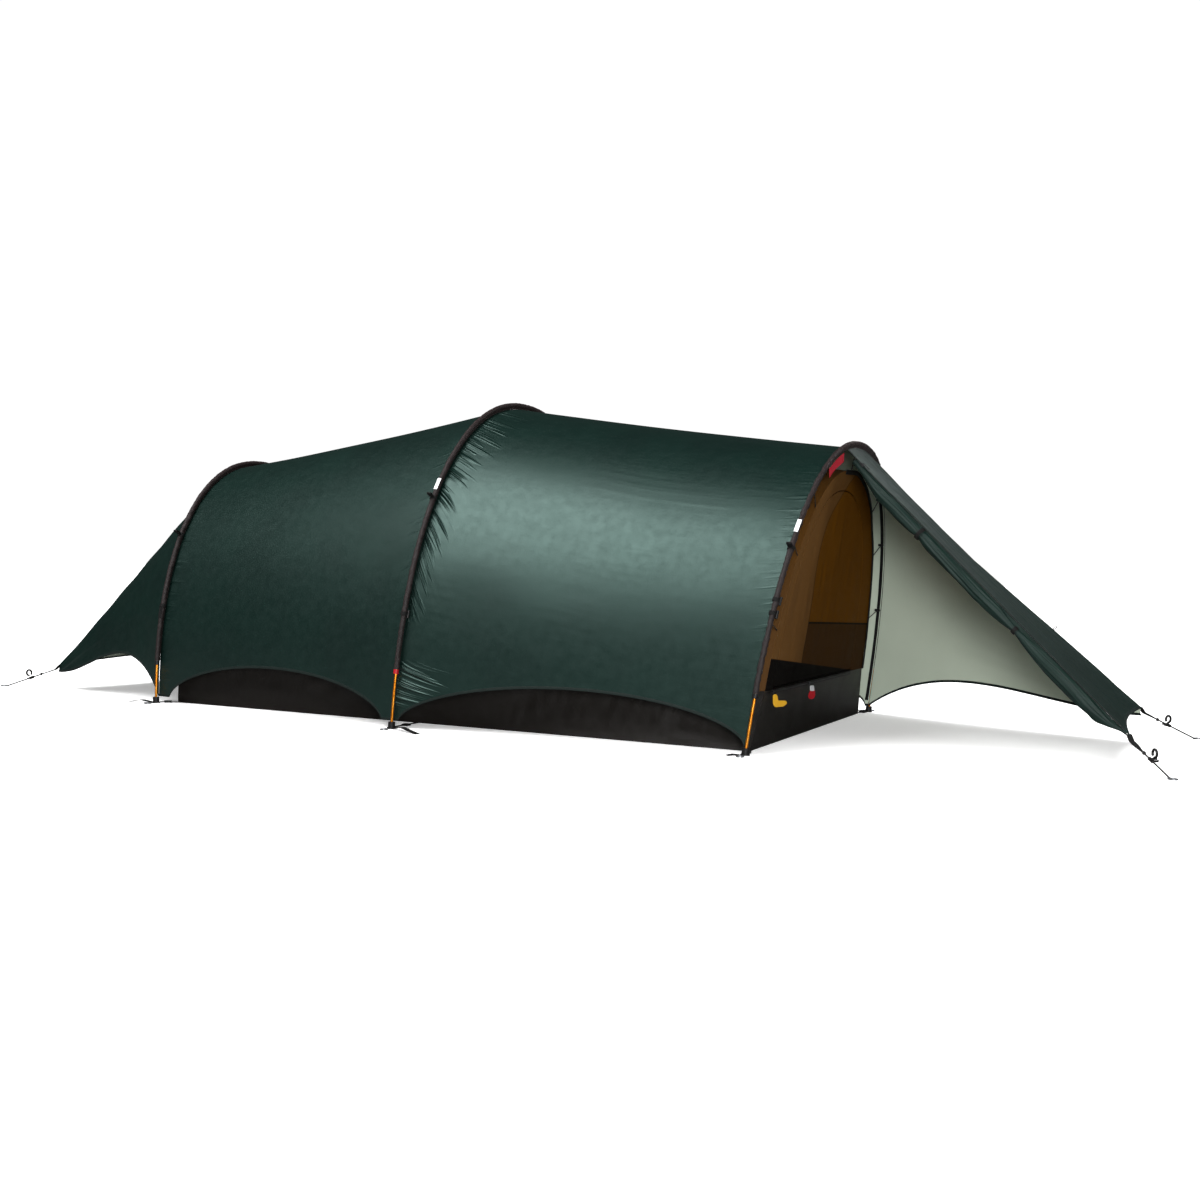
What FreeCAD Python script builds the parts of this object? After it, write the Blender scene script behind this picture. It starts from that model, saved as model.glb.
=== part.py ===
"""Three-hoop tunnel tent with a front vestibule, a short rear vestibule and a hung inner tent.

Units are millimetres. +X points out of the entrance, +Y to the far side, +Z up.
The origin is the middle of the groundsheet, on the ground.
Each hoop is an arch that rises from its near foot (angle 0) over its crown (90) to its far foot (180).
"""
import FreeCAD, Part
import math
import os
from collections import namedtuple

Vector = FreeCAD.Vector
Hoop = namedtuple("Hoop", "x half_width height lean")

# ---- driving dimensions ----
ROUNDNESS = 2.22                 # exponent of the superellipse that every arch follows
REAR = Hoop(-1134.0, 576.0, 890.0, -7.0)
MID = Hoop(-46.0, 727.0, 1080.0, 64.0)
FRONT = Hoop(1102.0, 681.0, 929.0, 128.0)
HOOPS = {"rear": REAR, "mid": MID, "front": FRONT}

INNER_REAR = Hoop(-1086.0, 510.0, 800.0, -6.0)
INNER_MID = Hoop(-46.0, 546.0, 985.0, 58.0)
INNER_FRONT = Hoop(1086.0, 545.0, 840.0, 116.0)
INNER_HOOPS = {"rear": INNER_REAR, "mid": INNER_MID, "front": INNER_FRONT}

GAP = 0.3                        # clearance between neighbouring pieces
CLOTH = 2.0                      # thickness that stands in for every cloth panel
SEAM_GAP = 3.0                   # between two cloth panels that a seam joins

POLE_R = 4.5
POLE_BORE_R = 3.8
FERRULE_R = 3.6
FERRULE_BORE_R = 2.9
FERRULE_LENGTH = 16.0
SHOCK_CORD_R = 1.5
POLE_SECTIONS = 8

POCKET_R = 8.0                   # the sleeve's round pocket, outside
POCKET_BORE_R = 6.0
SLEEVE_DEPTH = 21.0              # from the sleeve's outline to the seam on the tent's skin
SKIN_INSET = SLEEVE_DEPTH + 2 * GAP
FIN_HALF = 1.2
STITCH_GAP = 0.05                # between a sleeve's pocket and its fin
POLE_INSET = POCKET_R
SLEEVE_END_Z = {"rear": 150.0, "mid": 186.0, "front": 176.0}

BAY_SAG = 8.0
BAY_STATIONS = 14
ARCH_STATIONS = 40
HEM_END_Z = 24.0
HEM_MID_Z = 154.0

FRONT_CORNERS = (Vector(2085.0, -300.0, 88.0), Vector(2067.0, 300.0, 110.0))
REAR_CORNERS = (Vector(-1773.0, -400.0, 90.0), Vector(-1773.0, 400.0, 90.0))
FRONT_STAKES = (Vector(2209.0, -484.0, 0.0), Vector(2224.0, 513.0, 0.0))
REAR_STAKES = (Vector(-2013.0, -442.0, 0.0), Vector(-2013.0, 442.0, 0.0))
ZIP_Y = -140.0                   # where the vestibule zip meets the front hoop
RIDGE_FAR_Y = 300.0              # where the vestibule's far ridge seam meets it
REAR_RIDGE_Y = 60.0
CORNER_DEPTH = 24.0              # height of a side panel's short edge at its corner

TRAY_WALL = 170.0
TRAY_FLARE = {"rear": 0.0, "mid": 2.0, "front": 45.0}   # the tray's foot, out past the inner's arch
DOOR_SILL_Z = 178.0
DOOR_CENTRE_Y = -40.0
DOOR_HALF_WIDTH = 420.0
DOOR_RISE = 592.0
DOOR_GAP = 3.0
SILL_ZIP_Z = 165.0

CUP_R = 11.0
CUP_HEIGHT = 22.0
CUP_BASE = 4.0
PEG_RING_R = 9.0
PEG_RING_OUT_R = 12.5
PEG_RING_HEIGHT = 4.0
PEG_RING_REACH = 42.0            # from a foot's centre to its peg ring's centre
STRAP_WIDTH = 14.0
STRAP_THICK = 2.0
STRAP_Z = 3.0
STRAP_TAILS = {"rear": (-1.0, 0.15, 90.0), "mid": (0.86, 0.50, 150.0), "front": (-0.8, 0.6, 40.0)}

GUY_R = 2.5
GUY_END_Z = 2.7
CORNER_WEBBING = 76.0
RUNNER_BORE_R = 2.8


# ---- arches ----
def signed_power(value, exponent):
    """value raised to exponent, keeping its sign."""
    return math.copysign(abs(value) ** exponent, value)


def arch_normal(hoop, angle):
    """The arch's outward normal at angle, as (y, z)."""
    y = -signed_power(math.cos(math.radians(angle)), 2 / ROUNDNESS)
    z = max(math.sin(math.radians(angle)), 0.0) ** (2 / ROUNDNESS)
    ny = signed_power(y, ROUNDNESS - 1) / hoop.half_width
    nz = z ** (ROUNDNESS - 1) / hoop.height
    size = math.hypot(ny, nz)
    return ny / size, nz / size


def arch_point(hoop, angle, inset=0.0, shift=0.0):
    """The point on the arch at angle, moved in by inset and along X by shift."""
    ny, nz = arch_normal(hoop, angle)
    cosine = math.cos(math.radians(angle))
    sine = max(math.sin(math.radians(angle)), 0.0)
    y = -hoop.half_width * signed_power(cosine, 2 / ROUNDNESS) - inset * ny
    z = hoop.height * sine ** (2 / ROUNDNESS) - inset * nz
    return Vector(hoop.x + hoop.lean * z / hoop.height + shift, y, z)


def arch_frame(hoop, angle):
    """Unit vectors along the arch, outward, and square to its plane."""
    ny, nz = arch_normal(hoop, angle)
    slope = hoop.lean / hoop.height
    along = Vector(-slope * ny, nz, -ny).normalize()
    outward = Vector(slope * nz, ny, nz).normalize()
    return along, outward, along.cross(outward).normalize()


def angle_at_height(hoop, z):
    """The near side's angle where the arch is z high."""
    return math.degrees(math.asin((z / hoop.height) ** (ROUNDNESS / 2)))


def angle_at_y(hoop, y, inset=0.0):
    """The angle where the arch, moved in by inset, is at y."""
    low, high = 0.0, 180.0
    for _ in range(50):
        middle = (low + high) / 2
        if arch_point(hoop, middle, inset).y < y:
            low = middle
        else:
            high = middle
    return (low + high) / 2


def equal_angles(hoop, first, last, count, inset):
    """count + 1 angles that cut the arch from first to last into equal lengths."""
    steps = 720
    angles = [first + (last - first) * i / steps for i in range(steps + 1)]
    points = [arch_point(hoop, angle, inset) for angle in angles]
    lengths = [0.0]
    for before, after in zip(points, points[1:]):
        lengths.append(lengths[-1] + (after - before).Length)
    found = [first]
    for part in range(1, count):
        target = lengths[-1] * part / count
        index = next(i for i, length in enumerate(lengths) if length >= target)
        found.append(angles[index])
    return found + [last]


# ---- curves and sweeps ----
def arc_from(start, direction, end):
    """The arc that leaves start along direction and ends at end."""
    chord = end - start
    along = Vector(chord).normalize()
    side = direction - along * direction.dot(along)
    if side.Length < 1e-6:
        return Part.LineSegment(start, end).toShape()
    half_turn = math.acos(max(-1.0, min(1.0, direction.dot(along))))
    rise = chord.Length / 2 * math.tan(half_turn / 2)
    middle = (start + end) / 2 + side.normalize() * rise
    return Part.Arc(start, middle, end).toShape()


def biarc(start, start_dir, end, end_dir):
    """Two arcs from start to end that meet each other and both ends smoothly."""
    chord = end - start
    reach = chord.dot(start_dir + end_dir)
    spread = 2 * (1 - start_dir.dot(end_dir))
    if spread < 1e-9:
        arm = chord.dot(chord) / (2 * reach)
    else:
        arm = (math.sqrt(reach ** 2 + spread * chord.dot(chord)) - reach) / spread
    near, far = start + start_dir * arm, end - end_dir * arm
    joint = (near + far) / 2
    return [arc_from(start, start_dir, joint), arc_from(joint, (far - near).normalize(), end)]


def arch_path(hoop, angles, inset):
    """A wire of smooth arcs along the arch through the given angles."""
    edges = []
    for first, last in zip(angles, angles[1:]):
        start, end = arch_point(hoop, first, inset), arch_point(hoop, last, inset)
        edges += biarc(start, arch_frame(hoop, first)[0], end, arch_frame(hoop, last)[0])
    return Part.Wire(edges)


def sweep_round(path, start, direction, radius):
    """A round bar of that radius along path."""
    ring = Part.Wire([Part.Circle(start, direction, radius).toShape()])
    return path.makePipeShell([ring], True, False)


def sweep_tube(path, start, direction, outer_r, bore_r):
    """A round tube along path."""
    outer = sweep_round(path, start, direction, outer_r)
    return outer.cut(sweep_round(path, start, direction, bore_r))


def rod(start, end, radius):
    """A straight round bar between two points."""
    return Part.makeCylinder(radius, (end - start).Length, start, end - start)


def tube(start, end, outer_r, bore_r):
    """A straight round tube between two points."""
    return rod(start, end, outer_r).cut(rod(start, end, bore_r))


def block(centre, along, across, up, size):
    """A box with its middle at centre and its three sizes along three square directions."""
    length, width, height = size
    corner = centre - along * (length / 2) - across * (width / 2) - up * (height / 2)
    ends = [corner, corner + along * length]
    ends += [ends[1] + across * width, corner + across * width, corner]
    return Part.Face(Part.makePolygon(ends)).extrude(up * height)


# ---- cloth panels ----
def surface_through(rows):
    """A smooth surface through a grid of points."""
    surface = Part.BSplineSurface()
    surface.interpolate(rows)
    return surface


def grid_normals(rows):
    """A unit normal at each point of a grid: along the rows' order crossed with along a row."""
    normals = []
    for i, row in enumerate(rows):
        before, after = rows[max(i - 1, 0)], rows[min(i + 1, len(rows) - 1)]
        line = []
        for j in range(len(row)):
            down = after[j] - before[j]
            along = row[min(j + 1, len(row) - 1)] - row[max(j - 1, 0)]
            line.append(down.cross(along).normalize())
        normals.append(line)
    return normals


def cloth(rows, thickness=CLOTH):
    """A closed solid whose outer face passes through rows, thickness deep against its normals."""
    normals = grid_normals(rows)
    back = [[p - n * thickness for p, n in zip(*pair)] for pair in zip(rows, normals)]
    top, bottom = surface_through(rows), surface_through(back)
    faces = [top.toShape(), bottom.toShape()]
    first_u, last_u, first_v, last_v = top.bounds()
    for u in (first_u, last_u):
        faces.append(Part.makeRuledSurface(top.uIso(u).toShape(), bottom.uIso(u).toShape()))
    for v in (first_v, last_v):
        faces.append(Part.makeRuledSurface(top.vIso(v).toShape(), bottom.vIso(v).toShape()))
    skin = Part.Compound(faces)
    skin.sewShape()
    solid = Part.Solid(skin.Shells[0])
    return solid if solid.Volume > 0 else solid.reversed()


def eased(count):
    """count + 1 values from 0 to 1, closer together at both ends."""
    return [(1 - math.cos(math.pi * i / count)) / 2 for i in range(count + 1)]


def mixed(first, last, share):
    """The point that share of the way from first to last."""
    return first * (1 - share) + last * share


def bay(rear, front, inset, end_shift, sag, low_z):
    """Rows of points from one arch to the next, which sag between them; low_z(share) is the hem."""
    rows = []
    for share in eased(BAY_STATIONS):
        height = rear.height * (1 - share) + front.height * share
        low = math.degrees(math.asin((low_z(share) / height) ** (ROUNDNESS / 2)))
        row = []
        for step in eased(ARCH_STATIONS):
            angle = low + (180 - 2 * low) * step
            start = arch_point(rear, angle, inset, end_shift)
            end = arch_point(front, angle, inset, -end_shift)
            ny, nz = arch_normal(rear, angle)
            drop = sag * 4 * share * (1 - share) * math.sin(math.radians(angle))
            row.append(mixed(start, end, share) - Vector(0, ny, nz) * drop)
        rows.append(row)
    return rows


def hem_height(toe):
    """A hem that rises in an arch between two feet and stays low for toe of its span at each."""
    def height(share):
        inner = max(0.0, min(1.0, (share - toe) / (1 - 2 * toe)))
        return HEM_END_Z + (HEM_MID_Z - HEM_END_Z) * (1 - (2 * inner - 1) ** 2) ** 0.6
    return height


def spread_panel(start_at, end_at, hem_lift=0.0, sag=0.0, stations=10, across=12):
    """Rows from one edge, start_at(v), to another, end_at(v); hem_lift draws the v = 1 side up."""
    rows = []
    for i in range(stations + 1):
        share = i / stations
        bow = 4 * share * (1 - share)
        row = []
        for j in range(across + 1):
            v = j / across * (1 - hem_lift * bow)
            point = mixed(start_at(v), end_at(v), share)
            row.append(point - Vector(0, 0, sag * bow * math.sin(math.pi * j / across)))
        rows.append(row)
    return rows


def hoop_edge(hoop, y_from, y_to, shift):
    """A function of v that runs along the skin of a hoop from y_from to y_to."""
    first = angle_at_y(hoop, y_from, SKIN_INSET)
    last = angle_at_y(hoop, y_to, SKIN_INSET)

    def edge(v):
        return arch_point(hoop, first + (last - first) * v, SKIN_INSET, shift)
    return edge


def hoop_side(hoop, y_from, far_side, shift):
    """A function of v that runs down the skin of a hoop from y_from to just above its foot."""
    first = angle_at_y(hoop, y_from, SKIN_INSET)
    foot = angle_at_height(hoop, HEM_END_Z)
    last = 180 - foot if far_side else foot

    def edge(v):
        return arch_point(hoop, first + (last - first) * v, SKIN_INSET, shift)
    return edge


def corner_edge(first, last, hollow):
    """A function of v from one corner to the other, drawn in by hollow at its middle."""
    def edge(v):
        return mixed(first, last, v) + hollow * math.sin(math.pi * v)
    return edge


# ---- poles and sleeves ----
def pole_angles(hoop):
    """The angles at the ends of a pole's sections."""
    low = angle_at_height(hoop, CUP_BASE + GAP)
    return equal_angles(hoop, low, 180 - low, POLE_SECTIONS, POLE_INSET)


def pole(hoop):
    """The pole's tube sections, end to end."""
    angles = pole_angles(hoop)
    sections = []
    for first, last in zip(angles, angles[1:]):
        path = arch_path(hoop, [first, last], POLE_INSET)
        start, along = arch_point(hoop, first, POLE_INSET), arch_frame(hoop, first)[0]
        sections.append(sweep_tube(path, start, along, POLE_R, POLE_BORE_R))
    return Part.makeCompound(sections)


def ferrules():
    """The inserts that join one pole section to the next."""
    made = []
    for hoop in HOOPS.values():
        for angle in pole_angles(hoop)[1:-1]:
            centre, along = arch_point(hoop, angle, POLE_INSET), arch_frame(hoop, angle)[0]
            half = along * (FERRULE_LENGTH / 2)
            made.append(tube(centre - half, centre + half, FERRULE_R, FERRULE_BORE_R))
    return Part.makeCompound(made)


def shock_cords():
    """The elastic cord that runs through each pole."""
    made = []
    for hoop in HOOPS.values():
        angles = pole_angles(hoop)
        path = arch_path(hoop, angles, POLE_INSET)
        start, along = arch_point(hoop, angles[0], POLE_INSET), arch_frame(hoop, angles[0])[0]
        made.append(sweep_round(path, start, along, SHOCK_CORD_R))
    return Part.makeCompound(made)


def fin_profile(hoop, angle):
    """The section of the sleeve's fin, from the pocket down to the seam."""
    centre = arch_point(hoop, angle, POLE_INSET)
    _, outward, across = arch_frame(hoop, angle)
    top = centre - outward * (POCKET_R + STITCH_GAP)
    bottom = centre - outward * (SLEEVE_DEPTH - POLE_INSET)
    half = across * FIN_HALF
    return Part.makePolygon([top + half, top - half, bottom - half, bottom + half, top + half])


def sleeve(name, hoop):
    """The fabric sleeve over a pole: a round pocket with a fin down to the tent's skin."""
    low = angle_at_height(hoop, SLEEVE_END_Z[name])
    angles = equal_angles(hoop, low, 180 - low, POLE_SECTIONS, POLE_INSET)
    path = arch_path(hoop, angles, POLE_INSET)
    start, along = arch_point(hoop, low, POLE_INSET), arch_frame(hoop, low)[0]
    fin = path.makePipeShell([fin_profile(hoop, low)], True, False)
    return Part.makeCompound([sweep_tube(path, start, along, POCKET_R, POCKET_BORE_R), fin])


def collar(name, hoop):
    """The stiff rings round the sleeve's two ends."""
    length = 14.0
    made = []
    for far_side in (False, True):
        low = angle_at_height(hoop, SLEEVE_END_Z[name] - length)
        angle = 180 - low if far_side else low
        start, along = arch_point(hoop, angle, POLE_INSET), arch_frame(hoop, angle)[0]
        up = along * (-length if far_side else length)
        made.append(tube(start, start + up * 0.98, POCKET_R, POCKET_BORE_R))
    return made


# ---- pieces fixed along the hoops ----
def sleeve_block(hoop, angle, inset, shift, size):
    """A box on a hoop: size is (along the hoop, square to its plane, outward)."""
    along, outward, across = arch_frame(hoop, angle)
    centre = arch_point(hoop, angle, inset) + across * shift
    return block(centre, along, across, outward, size)


def both_sides(angle):
    """The same place on the near and the far leg."""
    return angle, 180 - angle


def reflective_tabs():
    """Pale tabs on the outside of the sleeves."""
    size = (46.0, 15.0, 1.6)
    lift = -(size[2] / 2 + GAP)
    made = []
    for hoop, height in ((MID, 772.0), (FRONT, 650.0), (REAR, 322.0)):
        for angle in both_sides(angle_at_height(hoop, height)):
            made.append(sleeve_block(hoop, angle, lift, 0.0, size))
    return Part.makeCompound(made)


def guy_tabs():
    """Webbing tabs that stand out of the sleeves, for side guylines."""
    size = (16.0, 3.0, 26.0)
    lift = -(size[2] / 2 + GAP)
    made = []
    for hoop, height in ((REAR, 600.0), (MID, 728.0), (FRONT, 588.0)):
        for angle in both_sides(angle_at_height(hoop, height)):
            made.append(sleeve_block(hoop, angle, lift, 0.0, size))
    return Part.makeCompound(made)


def tie_toggles():
    """Barrel toggles in front of the sleeves, which tie back the rolled hems."""
    radius, length, inset = 4.5, 24.0, 16.0
    aside = math.sqrt((POCKET_R + radius + GAP) ** 2 - (inset - POLE_INSET) ** 2)
    made = []
    for hoop, height in ((MID, 360.0), (FRONT, 440.0), (FRONT, 402.0)):
        for angle in both_sides(angle_at_height(hoop, height)):
            along, _, across = arch_frame(hoop, angle)
            side = across if across.x > 0 else -across
            centre = arch_point(hoop, angle, inset) + side * aside
            made.append(rod(centre - along * length / 2, centre + along * length / 2, radius))
    return Part.makeCompound(made)


def red_tab():
    """The plain red tab that hangs under the front sleeve."""
    top, bottom, shift = 24.0, 52.0, 5.0
    angles = [angle_at_y(FRONT, y) for y in (-190.0, -325.0)]
    corners = [arch_point(FRONT, angles[0], top, shift), arch_point(FRONT, angles[1], top, shift)]
    corners += [arch_point(FRONT, angles[1], bottom, shift), arch_point(FRONT, angles[0], bottom, shift)]
    rows = [[mixed(corners[0], corners[1], v / 3) for v in range(4)]]
    rows.append([mixed(corners[3], corners[2], v / 3) for v in range(4)])
    middle = [[mixed(a, b, share) for a, b in zip(*rows)] for share in (0.33, 0.67)]
    return cloth([rows[0]] + middle + [rows[1]], 1.6)


# ---- outer tent ----
def skin_shift():
    """How far a cloth panel's edge stands from a hoop's plane, beside the fin."""
    return FIN_HALF + 3 * GAP


def outer_rear_bay():
    return cloth(bay(REAR, MID, SKIN_INSET, skin_shift(), BAY_SAG, hem_height(0.05)))


def outer_front_bay():
    return cloth(bay(MID, FRONT, SKIN_INSET, skin_shift(), BAY_SAG, hem_height(0.01)))


def below(point):
    """The foot of a side panel's short edge at its corner."""
    return point - Vector(0, 0, CORNER_DEPTH)


def vestibule_ridge_panel():
    near, far = FRONT_CORNERS
    start = hoop_edge(FRONT, ZIP_Y, RIDGE_FAR_Y - SEAM_GAP, skin_shift())
    end = corner_edge(near, far - Vector(0, SEAM_GAP, 0), Vector(-24, 0, 6))
    return cloth(spread_panel(start, end, sag=10.0))


def vestibule_far_panel():
    start = hoop_side(FRONT, RIDGE_FAR_Y, True, skin_shift())
    far = FRONT_CORNERS[1]
    return cloth(spread_panel(start, corner_edge(far, below(far), Vector(-4, 0, 0)), hem_lift=0.13))


def rear_centre_panel():
    near, far = REAR_CORNERS
    inset = Vector(0, SEAM_GAP, 0)
    start = hoop_edge(REAR, REAR_RIDGE_Y - SEAM_GAP, SEAM_GAP - REAR_RIDGE_Y, -skin_shift())
    end = corner_edge(far - inset, near + inset, Vector(60, 0, 24))
    return cloth(spread_panel(start, end, sag=8.0))


def rear_side_panel(far_side):
    corner = REAR_CORNERS[1 if far_side else 0]
    side = 1 if far_side else -1
    start = hoop_side(REAR, side * REAR_RIDGE_Y, far_side, -skin_shift())
    rows = spread_panel(start, corner_edge(corner, below(corner), Vector(4, 0, 0)), hem_lift=0.14)
    if far_side:
        rows = [list(reversed(row)) for row in rows]
    return cloth(rows)


def zip_line():
    """The two ends of the vestibule's ridge zip."""
    start = hoop_edge(FRONT, ZIP_Y, RIDGE_FAR_Y, skin_shift())(0.0)
    return start, FRONT_CORNERS[0]


def zip_frame():
    """Unit vectors along the zip, out of the panel's near edge, and up."""
    start, end = zip_line()
    along = (end - start).normalize()
    out = (Vector(0, -1, 0) - along * along.dot(Vector(0, -1, 0))).normalize()
    up = out.cross(along).normalize()
    return along, out, up if up.z > 0 else -up


ZIP_HALF = 2.5
ZIP_THICK = 1.6


def zip_point(share):
    """A point on the zip's middle line, share of the way down it."""
    start, end = zip_line()
    _, out, up = zip_frame()
    return mixed(start, end, share) + out * (ZIP_HALF + SEAM_GAP) - up * (CLOTH / 2)


def vestibule_zip():
    along, out, up = zip_frame()
    start, end = zip_point(0.02), zip_point(0.985)
    size = ((end - start).Length, 2 * ZIP_HALF, ZIP_THICK)
    return block((start + end) / 2, along, out, up, size)


def slider(centre, along, out, up, chain):
    """A zip slider: a small body with a slot for a chain of that width and thickness."""
    width, thick = chain
    body = block(centre, along, out, up, (13.0, width + 4.0, thick + 4.4))
    slot = block(centre, along, out, up, (40.0, width + 2 * GAP, thick + 2 * GAP))
    bridge_at = centre + up * (thick / 2 + 3.4)
    bridge = block(bridge_at, along, out, up, (5.0, 2.4, 2.6))
    return body.cut(slot).fuse(bridge)


PULL_HOLE_R = 1.6


def pull_tab(hinge, hang, out, length, width):
    """A pull tab that hangs from hinge; out is the way its flat faces."""
    across = hang.cross(out).normalize()
    centre = hinge + hang * (length / 2 + 2.6)
    tab = block(centre, hang, across, out, (length, width, 2.0))
    hole_at = hinge + hang * (length + 2.6 - width / 2)
    return tab.cut(rod(hole_at - out * 3, hole_at + out * 3, PULL_HOLE_R))


VESTIBULE_SLIDER_AT = 0.06       # as a share of the zip's length


def vestibule_zip_slider():
    along, out, up = zip_frame()
    return slider(zip_point(VESTIBULE_SLIDER_AT), along, out, up, (2 * ZIP_HALF, ZIP_THICK))


def vestibule_pull_hinge():
    """Where the vestibule zip's pull tab turns."""
    return zip_point(VESTIBULE_SLIDER_AT) + zip_frame()[2] * 6.8


def vestibule_zip_pull():
    along, _, up = zip_frame()
    return pull_tab(vestibule_pull_hinge(), along, up, 24.0, 7.0)


ROLL_R = 16.0
ROLL_PINCH = 7.0                 # how much the middle tie draws the roll in
ROLL_DROP = ROLL_R + 7.0         # from the zip down to the roll's middle line
ROLL_TIE_AT = (0.30, 0.64)
ROLL_ENDS = (0.07, 0.96)         # as shares of the zip's length


def roll_point(share):
    """A point on the middle line of the rolled door, which hangs under the zip."""
    start, end = zip_line()
    return mixed(start, end, share) - zip_frame()[2] * ROLL_DROP


def roll_radius(share):
    """The roll's radius: two slack lengths drawn in where the middle tie holds them."""
    return ROLL_R - ROLL_PINCH * math.exp(-((share - ROLL_TIE_AT[1]) / 0.05) ** 2)


def vestibule_near_door():
    """The near door, rolled up along the zip."""
    first, last = ROLL_ENDS
    start, end = roll_point(first), roll_point(last)
    along = (end - start).normalize()
    side = along.cross(Vector(0, 1, 0)).normalize()
    count = 26
    outline = []
    for i in range(count + 1):
        share = first + (last - first) * i / count
        outline.append(roll_point(share) + side * roll_radius(share))
    curve = Part.BSplineCurve()
    curve.interpolate(outline)
    top = Part.makePolygon([outline[-1], end, start, outline[0]])
    face = Part.Face(Part.Wire([curve.toShape()] + top.Edges))
    return face.revolve(start, along, 360)


def door_roll_ties():
    """Webbing bands round the rolled door."""
    start, end = roll_point(0.0), roll_point(1.0)
    along = (end - start).normalize()
    made = []
    for share in ROLL_TIE_AT:
        centre = roll_point(share)
        bore = roll_radius(share) + 0.5
        half = along * 6.0
        made.append(tube(centre - half, centre + half, bore + 1.0, bore))
    return Part.makeCompound(made)


def ridge_tab():
    """A small webbing tab on the vestibule's far ridge seam."""
    start = hoop_edge(FRONT, RIDGE_FAR_Y, RIDGE_FAR_Y + 1, skin_shift())(0.0)
    centre = mixed(start, FRONT_CORNERS[1], 0.68) + Vector(4.0, 2.0, 8.0)
    along = (FRONT_CORNERS[1] - start).normalize()
    up = along.cross(Vector(0, -1, 0)).normalize()
    return block(centre, along, Vector(0, 1, 0), up, (22.0, 3.0, 12.0))


# ---- inner tent ----
def inner_canopy():
    """The inner's roof and side walls in one sheet, over both bays."""
    def low_z(_share):
        return TRAY_WALL + GAP
    first = bay(INNER_REAR, INNER_MID, 0.0, 0.0, 12.0, low_z)
    second = bay(INNER_MID, INNER_FRONT, 0.0, 0.0, 12.0, low_z)
    return cloth(first), cloth(second)


def wall_frame(hoop):
    """Unit vectors up an end wall's leaning plane and square to it."""
    up = Vector(hoop.lean, 0, hoop.height).normalize()
    return up, Vector(0, 1, 0).cross(up).normalize()


def wall_outline(hoop, inset, low_z):
    """An end wall's outline: the arch closed by a straight lower edge."""
    low = angle_at_height(hoop, low_z)
    steps = 24
    points = [arch_point(hoop, low + (180 - 2 * low) * i / steps, inset) for i in range(steps + 1)]
    curve = Part.BSplineCurve()
    curve.interpolate(points)
    sill = Part.LineSegment(points[-1], points[0]).toShape()
    return Part.Wire([curve.toShape(), sill])


def door_outline(grow):
    """The door's D-shaped outline, grow larger all round."""
    width, rise = DOOR_HALF_WIDTH + grow, DOOR_RISE + 2 * grow
    slope = INNER_FRONT.lean / INNER_FRONT.height
    steps = 24
    points = []
    for i in range(steps + 1):
        turn = math.radians(180 * i / steps)
        y = DOOR_CENTRE_Y - width * signed_power(math.cos(turn), 2 / ROUNDNESS)
        z = DOOR_SILL_Z - grow + rise * max(math.sin(turn), 0.0) ** (2 / ROUNDNESS)
        points.append(Vector(INNER_FRONT.x + slope * z, y, z))
    curve = Part.BSplineCurve()
    curve.interpolate(points)
    sill = Part.LineSegment(points[-1], points[0]).toShape()
    return Part.Wire([curve.toShape(), sill])


def inner_front_wall():
    _, out = wall_frame(INNER_FRONT)
    wall = Part.Face(wall_outline(INNER_FRONT, CLOTH + 2 * GAP, TRAY_WALL + GAP)).extrude(out * CLOTH)
    hole = Part.Face(door_outline(DOOR_GAP)).extrude(out * 3 * CLOTH)
    hole.translate(out * -CLOTH)
    return wall.cut(hole)


def inner_door():
    _, out = wall_frame(INNER_FRONT)
    return Part.Face(door_outline(0.0)).extrude(out * CLOTH)


def inner_rear_wall():
    _, out = wall_frame(INNER_REAR)
    return Part.Face(wall_outline(INNER_REAR, CLOTH + 2 * GAP, TRAY_WALL + GAP)).extrude(out * CLOTH)


def tray_ring(z, inset):
    """The groundsheet tray's six corners at height z, moved in by inset."""
    along = ("rear", "mid", "front")
    toward_x = {"rear": inset, "mid": 0.0, "front": -inset}
    corners = []
    for name, far_side in [(name, False) for name in along] + [(name, True) for name in along[::-1]]:
        hoop = INNER_HOOPS[name]
        angle = angle_at_height(hoop, max(z, 0.01))
        point = arch_point(hoop, 180 - angle if far_side else angle)
        out = TRAY_FLARE[name] * (1 - z / TRAY_WALL) - inset
        corners.append(Vector(point.x + toward_x[name], point.y + (out if far_side else -out), z))
    return Part.makePolygon(corners + corners[:1])


def bathtub_floor():
    outside = Part.makeLoft([tray_ring(0.0, 0.0), tray_ring(TRAY_WALL, 0.0)], True, True)
    inside = Part.makeLoft([tray_ring(CLOTH, CLOTH), tray_ring(TRAY_WALL + 1, CLOTH)], True, True)
    return outside.cut(inside)


HANGER_ANGLES = (22.0, 40.0, 56.0, 90.0, 124.0, 140.0, 158.0)


def inner_hangers():
    """The elastic cords that hang the inner from the hoops, and their toggles."""
    cord_r, toggle_r, toggle_length = 1.5, 4.0, 18.0
    elastics, toggles = [], []
    for name, hoop in HOOPS.items():
        inner = INNER_HOOPS[name]
        for turn in HANGER_ANGLES:
            start = arch_point(inner, turn, -1.0)
            centre = arch_point(hoop, turn, SKIN_INSET + CLOTH + toggle_r + 4.0)
            if name != "mid":
                centre.x = start.x + (centre.x - start.x) * 0.5
            reach = (centre - start).normalize()
            elastics.append(rod(start, centre - reach * (toggle_r + GAP), cord_r))
            half = reach.cross(arch_frame(hoop, turn)[0]).normalize() * (toggle_length / 2)
            toggles.append(rod(centre - half, centre + half, toggle_r))
    return Part.makeCompound(elastics), Part.makeCompound(toggles)


SILL_ZIP_HALF = 2.5
SILL_ZIP_Y = (-496.0, 372.0)


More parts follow.
